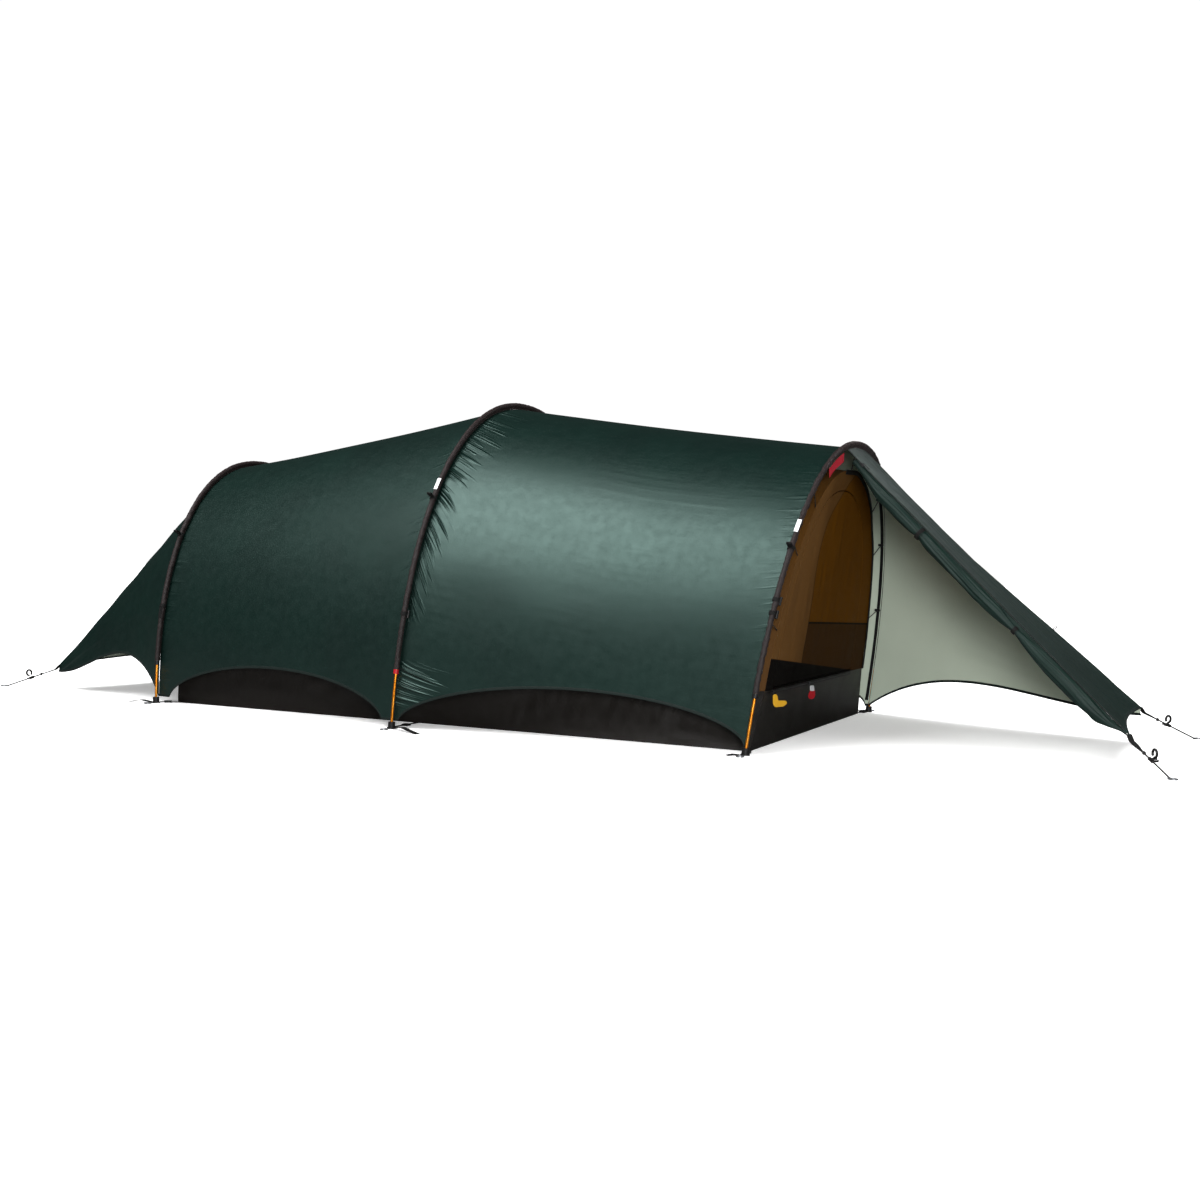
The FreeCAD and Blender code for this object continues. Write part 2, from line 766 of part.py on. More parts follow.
def sill_frame():
    """Unit vectors along the sill zip, up the wall and out of it."""
    up, out = wall_frame(INNER_FRONT)
    return Vector(0, 1, 0), up, out


def sill_point(y):
    """A point on the middle line of the sill zip, in front of the tray's front wall."""
    slope = INNER_FRONT.lean / INNER_FRONT.height
    _, _, out = sill_frame()
    return Vector(INNER_FRONT.x + slope * SILL_ZIP_Z, y, SILL_ZIP_Z) + out * 6.0


def inner_door_zip():
    along, up, out = sill_frame()
    start, end = sill_point(SILL_ZIP_Y[0]), sill_point(SILL_ZIP_Y[1])
    size = ((end - start).Length, 2 * SILL_ZIP_HALF, ZIP_THICK)
    return block((start + end) / 2, along, up, out, size)


SLIDERS = {"yellow": -480.0, "red": -120.0}


def sill_slider(y):
    along, up, out = sill_frame()
    return slider(sill_point(y), along, up, out, (2 * SILL_ZIP_HALF, ZIP_THICK))


def sill_pull_hinge(y):
    """Where a sill zip's pull tab turns."""
    return sill_point(y) + sill_frame()[2] * 6.8


def sill_pull(y):
    return pull_tab(sill_pull_hinge(y), Vector(0, 0, -1), Vector(1, 0, 0), 40.0, 12.0)


# ---- feet ----
def foot_centre(hoop, side):
    """Where a pole stands on the ground; side is -1 near and 1 far."""
    return Vector(hoop.x, side * (hoop.half_width - POLE_INSET), 0)


def feet():
    """Every foot as (hoop's name, hoop, side, centre)."""
    return [(name, hoop, side, foot_centre(hoop, side))
            for name, hoop in HOOPS.items() for side in (-1, 1)]


def foot_cup(hoop, side, centre):
    """The cup that a pole's tip stands in: a flat base and a socket along the pole."""
    low = angle_at_height(hoop, CUP_BASE + GAP)
    angle = low if side < 0 else 180 - low
    tip = arch_point(hoop, angle, POLE_INSET)
    up = arch_frame(hoop, angle)[0] * -side
    base = Part.makeCylinder(CUP_R + 3.0, CUP_BASE, centre)
    cup = Part.makeCylinder(CUP_R, CUP_HEIGHT - CUP_BASE, tip - up, up)
    socket = Part.makeCylinder(POLE_R + 2 * GAP, CUP_HEIGHT, tip - up * GAP, up)
    return cup.fuse(base).cut(socket)


def peg_ring(centre, toward):
    """A flat ring for a peg, with a lug on the side that the strap or line pulls from."""
    ring = Part.makeCylinder(PEG_RING_OUT_R, PEG_RING_HEIGHT, centre)
    middle = centre + toward * (PEG_RING_OUT_R + 2.0) + Vector(0, 0, PEG_RING_HEIGHT / 2)
    lug = block(middle, toward, toward.cross(Vector(0, 0, 1)), Vector(0, 0, 1),
                (8.0, 12.0, PEG_RING_HEIGHT))
    return ring.fuse(lug).cut(Part.makeCylinder(PEG_RING_R, PEG_RING_HEIGHT, centre))


def ring_centre(centre, side):
    return centre + Vector(0, side * PEG_RING_REACH, 0)


def flat_strap(start, end, width, thick, z):
    """A level strap between two points, its underside at height z."""
    along = Vector(end.x - start.x, end.y - start.y, 0)
    length = along.Length
    along.normalize()
    middle = Vector((start.x + end.x) / 2, (start.y + end.y) / 2, z + thick / 2)
    return block(middle, along, Vector(0, 0, 1).cross(along), Vector(0, 0, 1), (length, width, thick))


def floor_anchor(name, side):
    """Where a foot's strap meets the tray's edge."""
    inner = INNER_HOOPS[name]
    half = inner.half_width + TRAY_FLARE[name]
    return Vector(inner.x, side * (half + 2.0), 0)


def strap_run(name, side, centre):
    """The two ends of the strap from a foot's cup to the tray."""
    anchor = floor_anchor(name, side)
    toward = (anchor - centre).normalize()
    return centre + toward * (CUP_R + 3.5), anchor


def foot_straps():
    made = []
    for name, _, side, centre in feet():
        start, end = strap_run(name, side, centre)
        made.append(flat_strap(start, end, STRAP_WIDTH, STRAP_THICK, STRAP_Z))
    return Part.makeCompound(made)


def strap_tails():
    """The straps' free ends, which lie on the ground beside the feet."""
    made = []
    for name, _, side, centre in feet():
        x, y, length = STRAP_TAILS[name]
        toward = Vector(x, side * y, 0).normalize()
        start = centre + toward * (CUP_R + 3.5)
        made.append(flat_strap(start, start + toward * length, STRAP_WIDTH - 2, 1.5, 0.2))
    return Part.makeCompound(made)


def ladder_lock(start, end):
    """A buckle round a foot's strap, with the slot that the strap runs through."""
    along = (end - start).normalize()
    across = Vector(0, 0, 1).cross(along)
    up = Vector(0, 0, 1)
    middle = mixed(start, end, 0.45) + up * (STRAP_Z + STRAP_THICK / 2)
    frame = block(middle, along, across, up, (24.0, STRAP_WIDTH + 6, 6.4))
    slot = block(middle, along, across, up, (60.0, STRAP_WIDTH + 2 * GAP, STRAP_THICK + 2 * GAP))
    return frame.cut(slot)


# ---- guylines ----
GuyPoint = namedtuple("GuyPoint", "corner stake")
GUYS = {
    "front_near": GuyPoint(below(FRONT_CORNERS[0]) + Vector(0, 0, CORNER_DEPTH / 2), FRONT_STAKES[0]),
    "front_far": GuyPoint(FRONT_CORNERS[1] - Vector(0, 0, CORNER_DEPTH / 2), FRONT_STAKES[1]),
    "rear_near": GuyPoint(REAR_CORNERS[0] - Vector(0, 0, CORNER_DEPTH / 2), REAR_STAKES[0]),
    "rear_far": GuyPoint(REAR_CORNERS[1] - Vector(0, 0, CORNER_DEPTH / 2), REAR_STAKES[1]),
}


def level(vector):
    """The unit vector along the ground below a vector."""
    return Vector(vector.x, vector.y, 0).normalize()


def guy_run(guy):
    """The line's two ends: at the webbing on the tent's corner and at the peg ring's lug."""
    back = level(guy.corner - guy.stake)
    end = guy.stake + back * (PEG_RING_OUT_R + 6.0) + Vector(0, 0, GUY_END_Z)
    along = (end - guy.corner).normalize()
    start = guy.corner + along * CORNER_WEBBING
    return start, end


def corner_webbing():
    made = []
    for guy in GUYS.values():
        start, end = guy_run(guy)
        along = (end - start).normalize()
        across = Vector(0, 0, 1).cross(along).normalize()
        up = along.cross(across).normalize()
        length = CORNER_WEBBING - 8.0
        made.append(block(start - along * (length / 2), along, across, up, (length, 14.0, 2.4)))
    return Part.makeCompound(made)


def guyline(guy):
    start, end = guy_run(guy)
    return rod(start, end, GUY_R)


def guy_runner(guy):
    """A line tensioner: a barrel on the line with an open hook beside it."""
    start, end = guy_run(guy)
    along = (end - start).normalize()
    across = Vector(0, 0, 1).cross(along).normalize()
    centre = mixed(start, end, 0.3)
    barrel = rod(centre - along * 9, centre + along * 9, 5.2)
    hook_at = centre + across * 12.0
    normal = along.cross(across).normalize()
    hook = tube(hook_at - normal * 2.5, hook_at + normal * 2.5, 10.0, 6.0)
    mouth = block(hook_at + across * 9, along, across, normal, (8.0, 12.0, 8.0))
    return barrel.fuse(hook.cut(mouth)).cut(rod(start, end, RUNNER_BORE_R))


def guy_ring(guy):
    return peg_ring(guy.stake, level(guy.corner - guy.stake))


# ---- all pieces ----
def pole_nodes():
    nodes = {}
    for name, hoop in HOOPS.items():
        nodes[f"{name}_pole"] = pole(hoop)
        nodes[f"{name}_sleeve"] = sleeve(name, hoop)
    nodes["pole_ferrules"] = ferrules()
    nodes["pole_shock_cords"] = shock_cords()
    nodes["sleeve_collars_red"] = Part.makeCompound(collar("mid", MID))
    nodes["sleeve_collars_black"] = Part.makeCompound(collar("rear", REAR) + collar("front", FRONT))
    nodes["reflective_tabs"] = reflective_tabs()
    nodes["guy_tabs"] = guy_tabs()
    nodes["tie_toggles"] = tie_toggles()
    nodes["red_tab"] = red_tab()
    return nodes


def outer_nodes():
    return {
        "outer_rear_bay": outer_rear_bay(),
        "outer_front_bay": outer_front_bay(),
        "vestibule_ridge_panel": vestibule_ridge_panel(),
        "vestibule_far_panel": vestibule_far_panel(),
        "vestibule_near_door": vestibule_near_door(),
        "door_roll_ties": door_roll_ties(),
        "vestibule_zip": vestibule_zip(),
        "vestibule_zip_slider": vestibule_zip_slider(),
        "vestibule_zip_pull": vestibule_zip_pull(),
        "ridge_tab": ridge_tab(),
        "rear_centre_panel": rear_centre_panel(),
        "rear_near_panel": rear_side_panel(False),
        "rear_far_panel": rear_side_panel(True),
    }


def inner_nodes():
    rear_canopy, front_canopy = inner_canopy()
    elastics, toggles = inner_hangers()
    nodes = {
        "inner_rear_canopy": rear_canopy,
        "inner_front_canopy": front_canopy,
        "inner_front_wall": inner_front_wall(),
        "inner_rear_wall": inner_rear_wall(),
        "inner_door": inner_door(),
        "bathtub_floor": bathtub_floor(),
        "inner_elastics": elastics,
        "inner_toggles": toggles,
        "inner_door_zip": inner_door_zip(),
    }
    for colour, y in SLIDERS.items():
        nodes[f"{colour}_zip_slider"] = sill_slider(y)
        nodes[f"{colour}_zip_pull"] = sill_pull(y)
    return nodes


def ground_nodes():
    nodes = {
        "pole_foot_cups": Part.makeCompound([foot_cup(hoop, side, centre) for _, hoop, side, centre in feet()]),
        "foot_straps": foot_straps(),
        "strap_tails": strap_tails(),
        "corner_webbing": corner_webbing(),
    }
    rings, locks = [], []
    for name, _, side, centre in feet():
        rings.append(peg_ring(ring_centre(centre, side), Vector(0, -side, 0)))
        locks.append(ladder_lock(*strap_run(name, side, centre)))
    nodes["foot_peg_rings"] = Part.makeCompound(rings)
    nodes["ladder_lock_buckles"] = Part.makeCompound(locks)
    for name, guy in GUYS.items():
        nodes[f"{name}_guyline"] = guyline(guy)
        nodes[f"{name}_runner"] = guy_runner(guy)
        nodes[f"{name}_peg_ring"] = guy_ring(guy)
    return nodes


def main():
    os.makedirs("parts", exist_ok=True)
    nodes = {**pole_nodes(), **outer_nodes(), **inner_nodes(), **ground_nodes()}
    for name, shape in nodes.items():
        shape.exportStep(f"parts/{name}.step")
        box = shape.BoundBox
        print(f"{name:26s} solids {len(shape.Solids):3d} valid {shape.isValid()} "
              f"volume {shape.Volume / 1000:9.1f} cm3  x {box.XMin:8.1f} {box.XMax:8.1f} "
              f"y {box.YMin:7.1f} {box.YMax:7.1f} z {box.ZMin:7.1f} {box.ZMax:7.1f}")
    print(len(nodes), "nodes")
    for name, guy in GUYS.items():
        start, end = guy_run(guy)
        print(name, "guyline is straight,", round((end - start).Length, 1), "mm:", start, end)


main()
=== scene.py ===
"""The looks of a three-hoop tunnel tent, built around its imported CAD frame.

Units are metres, in the frame's axes: +X out of the entrance, +Y to the far side, +Z up.
Each hoop is an arch that rises from its near foot (angle 0) over its crown (90) to its far foot (180).
"""
import math
from collections import namedtuple

import bpy
import numpy as np
from mathutils import Matrix, Vector


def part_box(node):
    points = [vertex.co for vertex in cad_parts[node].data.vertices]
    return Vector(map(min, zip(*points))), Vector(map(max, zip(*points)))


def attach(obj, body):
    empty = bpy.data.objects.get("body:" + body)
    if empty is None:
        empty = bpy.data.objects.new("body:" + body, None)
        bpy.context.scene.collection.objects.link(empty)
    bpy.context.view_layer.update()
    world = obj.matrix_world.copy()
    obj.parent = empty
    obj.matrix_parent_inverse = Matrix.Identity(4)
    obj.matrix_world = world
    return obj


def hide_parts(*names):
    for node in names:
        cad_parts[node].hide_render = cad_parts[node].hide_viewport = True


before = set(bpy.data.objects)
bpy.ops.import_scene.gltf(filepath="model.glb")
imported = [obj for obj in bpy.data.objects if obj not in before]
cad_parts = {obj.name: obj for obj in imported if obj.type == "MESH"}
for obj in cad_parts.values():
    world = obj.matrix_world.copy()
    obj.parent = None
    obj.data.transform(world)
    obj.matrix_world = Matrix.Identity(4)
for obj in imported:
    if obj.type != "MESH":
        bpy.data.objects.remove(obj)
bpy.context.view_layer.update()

# ---- sizes ----
Hoop = namedtuple("Hoop", "x half_width height lean")
ROUNDNESS = 2.22                 # exponent of the superellipse that every arch follows
HOOPS = {
    "rear": Hoop(-1.134, 0.576, 0.890, -0.007),
    "mid": Hoop(-0.046, 0.727, 1.080, 0.064),
    "front": Hoop(1.102, 0.681, 0.929, 0.128),
}
INNER = {
    "rear": Hoop(-1.086, 0.510, 0.800, -0.006),
    "mid": Hoop(-0.046, 0.546, 0.985, 0.058),
    "front": Hoop(1.086, 0.545, 0.840, 0.116),
}
POLE_INSET = 0.008               # from a hoop's outline to its pole's middle line
POCKET_R = 0.008
SKIN_INSET = 0.0216              # from a hoop's outline to the skin beside it
SKIN_SHIFT = 0.0014              # from a hoop's plane to the skin's edge
SLEEVE_END_Z = {"rear": 0.150, "mid": 0.186, "front": 0.176}
HEM_END_Z, HEM_MID_Z = 0.024, 0.154
BAY_SAG = 0.008
CLOTH = 0.0011                   # thickness of the cloth meshes
TRAY_WALL = 0.170
INNER_LOW = TRAY_WALL + 0.0003   # where the inner tent's cloth starts, just above the tray
WALL_INSET = 0.0026              # from the inner's arches to the edges of its end walls
TRAY_FLARE = {"rear": 0.0, "mid": 0.002, "front": 0.045}   # the tray's foot, out past the arch
BLACK_BAND = (0.212, -0.10)      # height and slope along Y of the front wall's black band
WALL_SEAM = (0.350, -0.04)       # the same for its level seam, under which the wall is painted in shade
WALL_SEAM_Y = -0.220             # where its upright seam stands, the edge of the painted light on its near side
SEAM_BENDS_Z, SEAM_BEND = 0.55, 3.6      # the height from which that seam and the painted light's edge bend away, and how much
NEAR_CORNER, FAR_CORNER = np.array([2.085, -0.300, 0.088]), np.array([2.067, 0.300, 0.110])
REAR_CORNERS = np.array([[-1.773, -0.400, 0.090], [-1.773, 0.400, 0.090]])
CORNER_DEPTH = 0.024
ZIP_Y, RIDGE_FAR_Y, REAR_RIDGE_Y = -0.140, 0.300, 0.060
SEAM_GAP = 0.003
TAPE_PROUD = 0.0007              # how far a binding stands out from its cloth
UV = "Cloth"
SHARP_EDGE = math.radians(38)


# ---- numbers ----
def unit(vectors):
    return vectors / np.maximum(np.linalg.norm(vectors, axis=-1, keepdims=True), 1e-12)


def eased(share):
    """0 to 1 with a soft start and end."""
    share = np.clip(share, 0, 1)
    return share * share * (3 - 2 * share)


LINE_VALUES, LINE_MIDDLE = 8192, 4096.5          # how many values noise has, and where its 0 falls
AREA_VALUES, AREA_MIDDLE = 256, (128.3, 128.7)


def wander(place, pitch, seed):
    """Smooth noise from -1 to 1 along a line, which changes about every pitch."""
    values = np.random.default_rng(seed).uniform(-1, 1, LINE_VALUES)
    steps = np.asarray(place, float) / pitch + LINE_MIDDLE
    low = np.floor(steps).astype(int)
    share = eased(steps - low)
    return values[low % LINE_VALUES] * (1 - share) + values[(low + 1) % LINE_VALUES] * share


def billow(u, v, pitch, seed):
    """Smooth noise from -1 to 1 over a surface, which changes about every pitch."""
    values = np.random.default_rng(seed).uniform(-1, 1, (AREA_VALUES, AREA_VALUES))
    u, v = (np.asarray(w, float) / pitch + start for w, start in zip((u, v), AREA_MIDDLE))
    i, j = np.floor(u).astype(int), np.floor(v).astype(int)
    a, b = eased(u - i), eased(v - j)

    def row(j):
        return values[i % AREA_VALUES, j] * (1 - a) + values[(i + 1) % AREA_VALUES, j] * a

    return row(j % AREA_VALUES) * (1 - b) + row((j + 1) % AREA_VALUES) * b


def distances(points, axis):
    """How far each point of a grid lies along its line, from the line's first point."""
    steps = np.linalg.norm(np.diff(points, axis=axis), axis=-1)
    start = np.zeros_like(np.take(steps, [0], axis=axis))
    return np.cumsum(np.concatenate([start, steps], axis=axis), axis=axis)


def normals(points):
    """A grid's unit normals: across its rows crossed with along them."""
    return unit(np.cross(np.gradient(points, axis=0), np.gradient(points, axis=1)))


# ---- arches ----
def arch_outline(turn):
    """The arch's (y, z) at turn, in radians, for a half width and a height of 1."""
    cosine = np.cos(turn)
    power = 2 / ROUNDNESS
    return -np.sign(cosine) * np.abs(cosine) ** power, np.maximum(np.sin(turn), 0) ** power


def arch_normal(hoop, angle):
    """The arch's outward normal at angle, in degrees, as (y, z)."""
    y, z = arch_outline(np.radians(angle))
    ny = np.sign(y) * np.abs(y) ** (ROUNDNESS - 1) / hoop.half_width
    nz = z ** (ROUNDNESS - 1) / hoop.height
    size = np.hypot(ny, nz)
    return ny / size, nz / size


def arch_point(hoop, angle, inset=0.0, shift=0.0):
    """Points on the arch, moved in by inset and along X by shift."""
    y, z = arch_outline(np.radians(angle))
    ny, nz = arch_normal(hoop, angle)
    y, z = hoop.half_width * y - inset * ny, hoop.height * z - inset * nz
    return np.stack([hoop.x + hoop.lean * z / hoop.height + shift, y, z], axis=-1)


def arch_frame(hoop, angle):
    """Unit vectors along the arch, outward, and square to its plane."""
    ny, nz = arch_normal(hoop, angle)
    slope = hoop.lean / hoop.height
    along = unit(np.stack([-slope * ny, nz, -ny], axis=-1))
    outward = unit(np.stack([slope * nz, ny, nz], axis=-1))
    return along, outward, unit(np.cross(along, outward))


def angle_at_height(hoop, z):
    """The near side's angle where the arch is z high."""
    return np.degrees(np.arcsin(np.clip(z / hoop.height, 0, 1) ** (ROUNDNESS / 2)))


def both_angles(hoop, z):
    """The near side's angle and the far side's where the arch is z high."""
    low = float(angle_at_height(hoop, z))
    return low, 180 - low


def angle_at_y(hoop, y, inset=0.0):
    """The angle where the arch, moved in by inset, is at y."""
    angles = np.linspace(0.5, 179.5, 4000)
    return float(np.interp(y, arch_point(hoop, angles, inset)[:, 1], angles))


def even_angles(hoop, first, last, spacing, inset=0.0):
    """Angles from first to last that are about spacing apart along the arch."""
    angles = np.linspace(first, last, 3000)
    lengths = distances(arch_point(hoop, angles, inset), 0)
    count = max(int(round(lengths[-1] / spacing)), 4)
    return np.interp(np.linspace(0, lengths[-1], count + 1), lengths, angles)


# ---- meshes ----
def add_object(name, data):
    thing = bpy.data.objects.new(name, data)
    bpy.context.scene.collection.objects.link(thing)
    return thing


def make_piece(name, points, faces, corner_uv, materials, kinds=None, body="tent"):
    """A mesh piece that rides on a body. corner_uv holds each face corner's place on the cloth."""
    mesh = bpy.data.meshes.new(name)
    mesh.from_pydata(np.asarray(points, float).reshape(-1, 3).tolist(), [], faces)
    for material in materials:
        mesh.materials.append(material)
    if kinds is not None:
        mesh.polygons.foreach_set("material_index", np.asarray(kinds, np.int32))
    layer = mesh.uv_layers.new(name=UV)
    layer.data.foreach_set("uv", np.asarray(corner_uv, np.float32).ravel())
    mesh.polygons.foreach_set("use_smooth", np.ones(len(faces), bool))
    mesh.set_sharp_from_angle(angle=SHARP_EDGE)
    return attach(add_object(name, mesh), body)


def numbered(grid):
    """The numbers of a grid's points."""
    rows, columns = grid.shape[:2]
    return np.arange(rows * columns).reshape(rows, columns)


def closed(grid, axis=1):
    """A grid whose first line is repeated at its end."""
    return np.concatenate([grid, np.take(grid, [0], axis=axis)], axis=axis)


def quads(corners):
    """Faces of a grid from its points' numbers."""
    a, b = corners[:-1, :-1], corners[1:, :-1]
    c, d = corners[1:, 1:], corners[:-1, 1:]
    return np.stack([a, b, c, d], axis=-1).reshape(-1, 4)


def face_uv(u, v):
    """The corners' places on the cloth for a grid's faces."""
    place = np.stack([u, v], axis=-1)
    parts = [place[:-1, :-1], place[1:, :-1], place[1:, 1:], place[:-1, 1:]]
    return np.stack(parts, axis=2).reshape(-1, 4, 2)


def shell(top, bottom, u, v, rims):
    """Faces of a thin sheet, their places on the cloth, and their kinds: 0 front, 1 back, 2 rim."""
    faces = [quads(top), quads(bottom)[:, ::-1]]
    places = [face_uv(u, v), face_uv(u, v)[:, ::-1]]
    for first, second in rims:
        faces.append(np.stack([first[:-1], second[:-1], second[1:], first[1:]], axis=-1))
        places.append(np.zeros((len(first) - 1, 4, 2)))
    kinds = [np.full(len(part), min(kind, 2)) for kind, part in enumerate(faces)]
    return np.concatenate(faces), np.concatenate(places), np.concatenate(kinds)


def sheet_mesh(name, points, relief, materials, thickness=CLOTH, centred=False):
    """A closed thin sheet: outer face lifted by relief, back face, and rim.

    The materials are the outside's, the inside's and the rim's, or one for all three.
    """
    lift = np.broadcast_to(np.asarray(relief, float), points.shape[:2])[..., None]
    front = points + normals(points) * lift
    back = front - normals(front) * thickness
    top = numbered(points)
    bottom = top + top.size
    u, v = distances(points, 1), distances(points, 0)
    if centred:
        u = u - u[:, -1:] / 2
    rims = [(top[:, 0], bottom[:, 0]), (bottom[:, -1], top[:, -1])]
    rims += [(bottom[0], top[0]), (top[-1], bottom[-1])]
    faces, places, kinds = shell(top, bottom, u, v, rims)
    both = np.concatenate([front.reshape(-1, 3), back.reshape(-1, 3)])
    if len(materials) == 1:
        materials = materials * 3
    return make_piece(name, both, faces.tolist(), places, materials, kinds), front


def tube_mesh(name, rings, material, body="tent", along=None):
    """A closed tube through rings of points, with flat ends."""
    numbers = numbered(rings)
    v = distances(closed(rings), 1)
    if along is None:
        along = distances(rings.mean(axis=1), 0)
    u = np.broadcast_to(np.asarray(along)[:, None], v.shape)
    faces = quads(closed(numbers))[:, ::-1].tolist()
    faces += [numbers[0].tolist(), numbers[-1][::-1].tolist()]
    ends = np.zeros((2 * numbers.shape[1], 2))
    places = np.concatenate([face_uv(u, v)[:, ::-1].reshape(-1, 2), ends])
    return make_piece(name, rings, faces, places, [material], None, body)


def hoop_mesh(name, rings, material):
    """A closed band: rings of points joined end to end."""
    looped = closed(closed(rings, 0))
    v = distances(looped, 1)
    u = np.broadcast_to(distances(looped.mean(axis=1)[:, None], 0), v.shape)
    faces, places = quads(closed(closed(numbered(rings)), 0)), face_uv(u, v)
    first = rings.reshape(-1, 3)[faces[0]]
    facing = np.cross(first[1] - first[0], first[3] - first[0])
    if facing @ (first[0] - rings[0].mean(axis=0)) < 0:
        faces, places = faces[:, ::-1], places[:, ::-1]
    return make_piece(name, rings, faces.tolist(), places, [material])


def swept(path, out, across, profile):
    """Rings of a profile carried along a path; the profile's columns go along out and across."""
    out, across = np.broadcast_to(out, path.shape), np.broadcast_to(across, path.shape)
    profile = np.broadcast_to(profile, (len(path),) + np.shape(profile)[-2:])
    return path[:, None] + out[:, None] * profile[..., :1] + across[:, None] * profile[..., 1:]


def path_frame(path, lift):
    """Unit vectors out of a path near lift, and across it."""
    along = unit(np.gradient(path, axis=0))
    across = unit(np.cross(along, np.broadcast_to(np.asarray(lift, float), path.shape)))
    return unit(np.cross(across, along)), across


def smooth_path(points, count):
    """A path of count points on a smooth curve near the given ones."""
    points = np.asarray(points, float)
    ends = np.concatenate([points[:1], points, points[-1:]])
    place = np.linspace(0, len(points) - 1, count)
    low = np.minimum(place.astype(int), len(points) - 2)
    t = (place - low)[:, None]
    a, b, c, d = (ends[np.clip(low + k, 0, len(ends) - 1)] for k in range(4))
    bend = 2 * a - 5 * b + 4 * c - d
    return 0.5 * (2 * b + (c - a) * t + bend * t * t + (3 * b - a - 3 * c + d) * t ** 3)


def round_profile(radius, count=12):
    turn = np.linspace(0, 2 * math.pi, count, endpoint=False)
    return radius * np.stack([np.cos(turn), np.sin(turn)], axis=-1)


def band_profile(width, thick, bevel=0.0004):
    """A flat band's section, thick along out and width along across, with bevelled edges."""
    w, t = width / 2, thick / 2
    points = [(-t, -w + bevel), (-t + bevel, -w), (t - bevel, -w), (t, -w + bevel)]
    points += [(-out, -side) for out, side in points]
    return np.array(points)


def strap(name, points, width, thick, material, lift=(0, 0, 1), count=40):
    """A webbing band along a smooth path."""
    path = smooth_path(points, count)
    rings = swept(path, *path_frame(path, lift), band_profile(width, thick))
    return tube_mesh(name, rings, material)


def join(name, pieces):
    """One piece from several that ride on the same body."""
    bpy.ops.object.select_all(action="DESELECT")
    for piece in pieces:
        piece.select_set(True)
    bpy.context.view_layer.objects.active = pieces[0]
    bpy.ops.object.join()
    pieces[0].name = name
    return pieces[0]


# ---- finishes ----
def colour(red, green, blue):
    """A screen colour, 0 to 255 each, as the linear colour that shaders take."""
    linear = [((c / 255 + 0.055) / 1.055) ** 2.4 if c > 10 else c / 255 / 12.92
              for c in (red, green, blue)]
    return (*linear, 1.0)


PROFILE_END = 1.2                # a height above the whole tent
THREADS = (0.0052, 0.0005)       # pitch and width of the fly's stronger threads


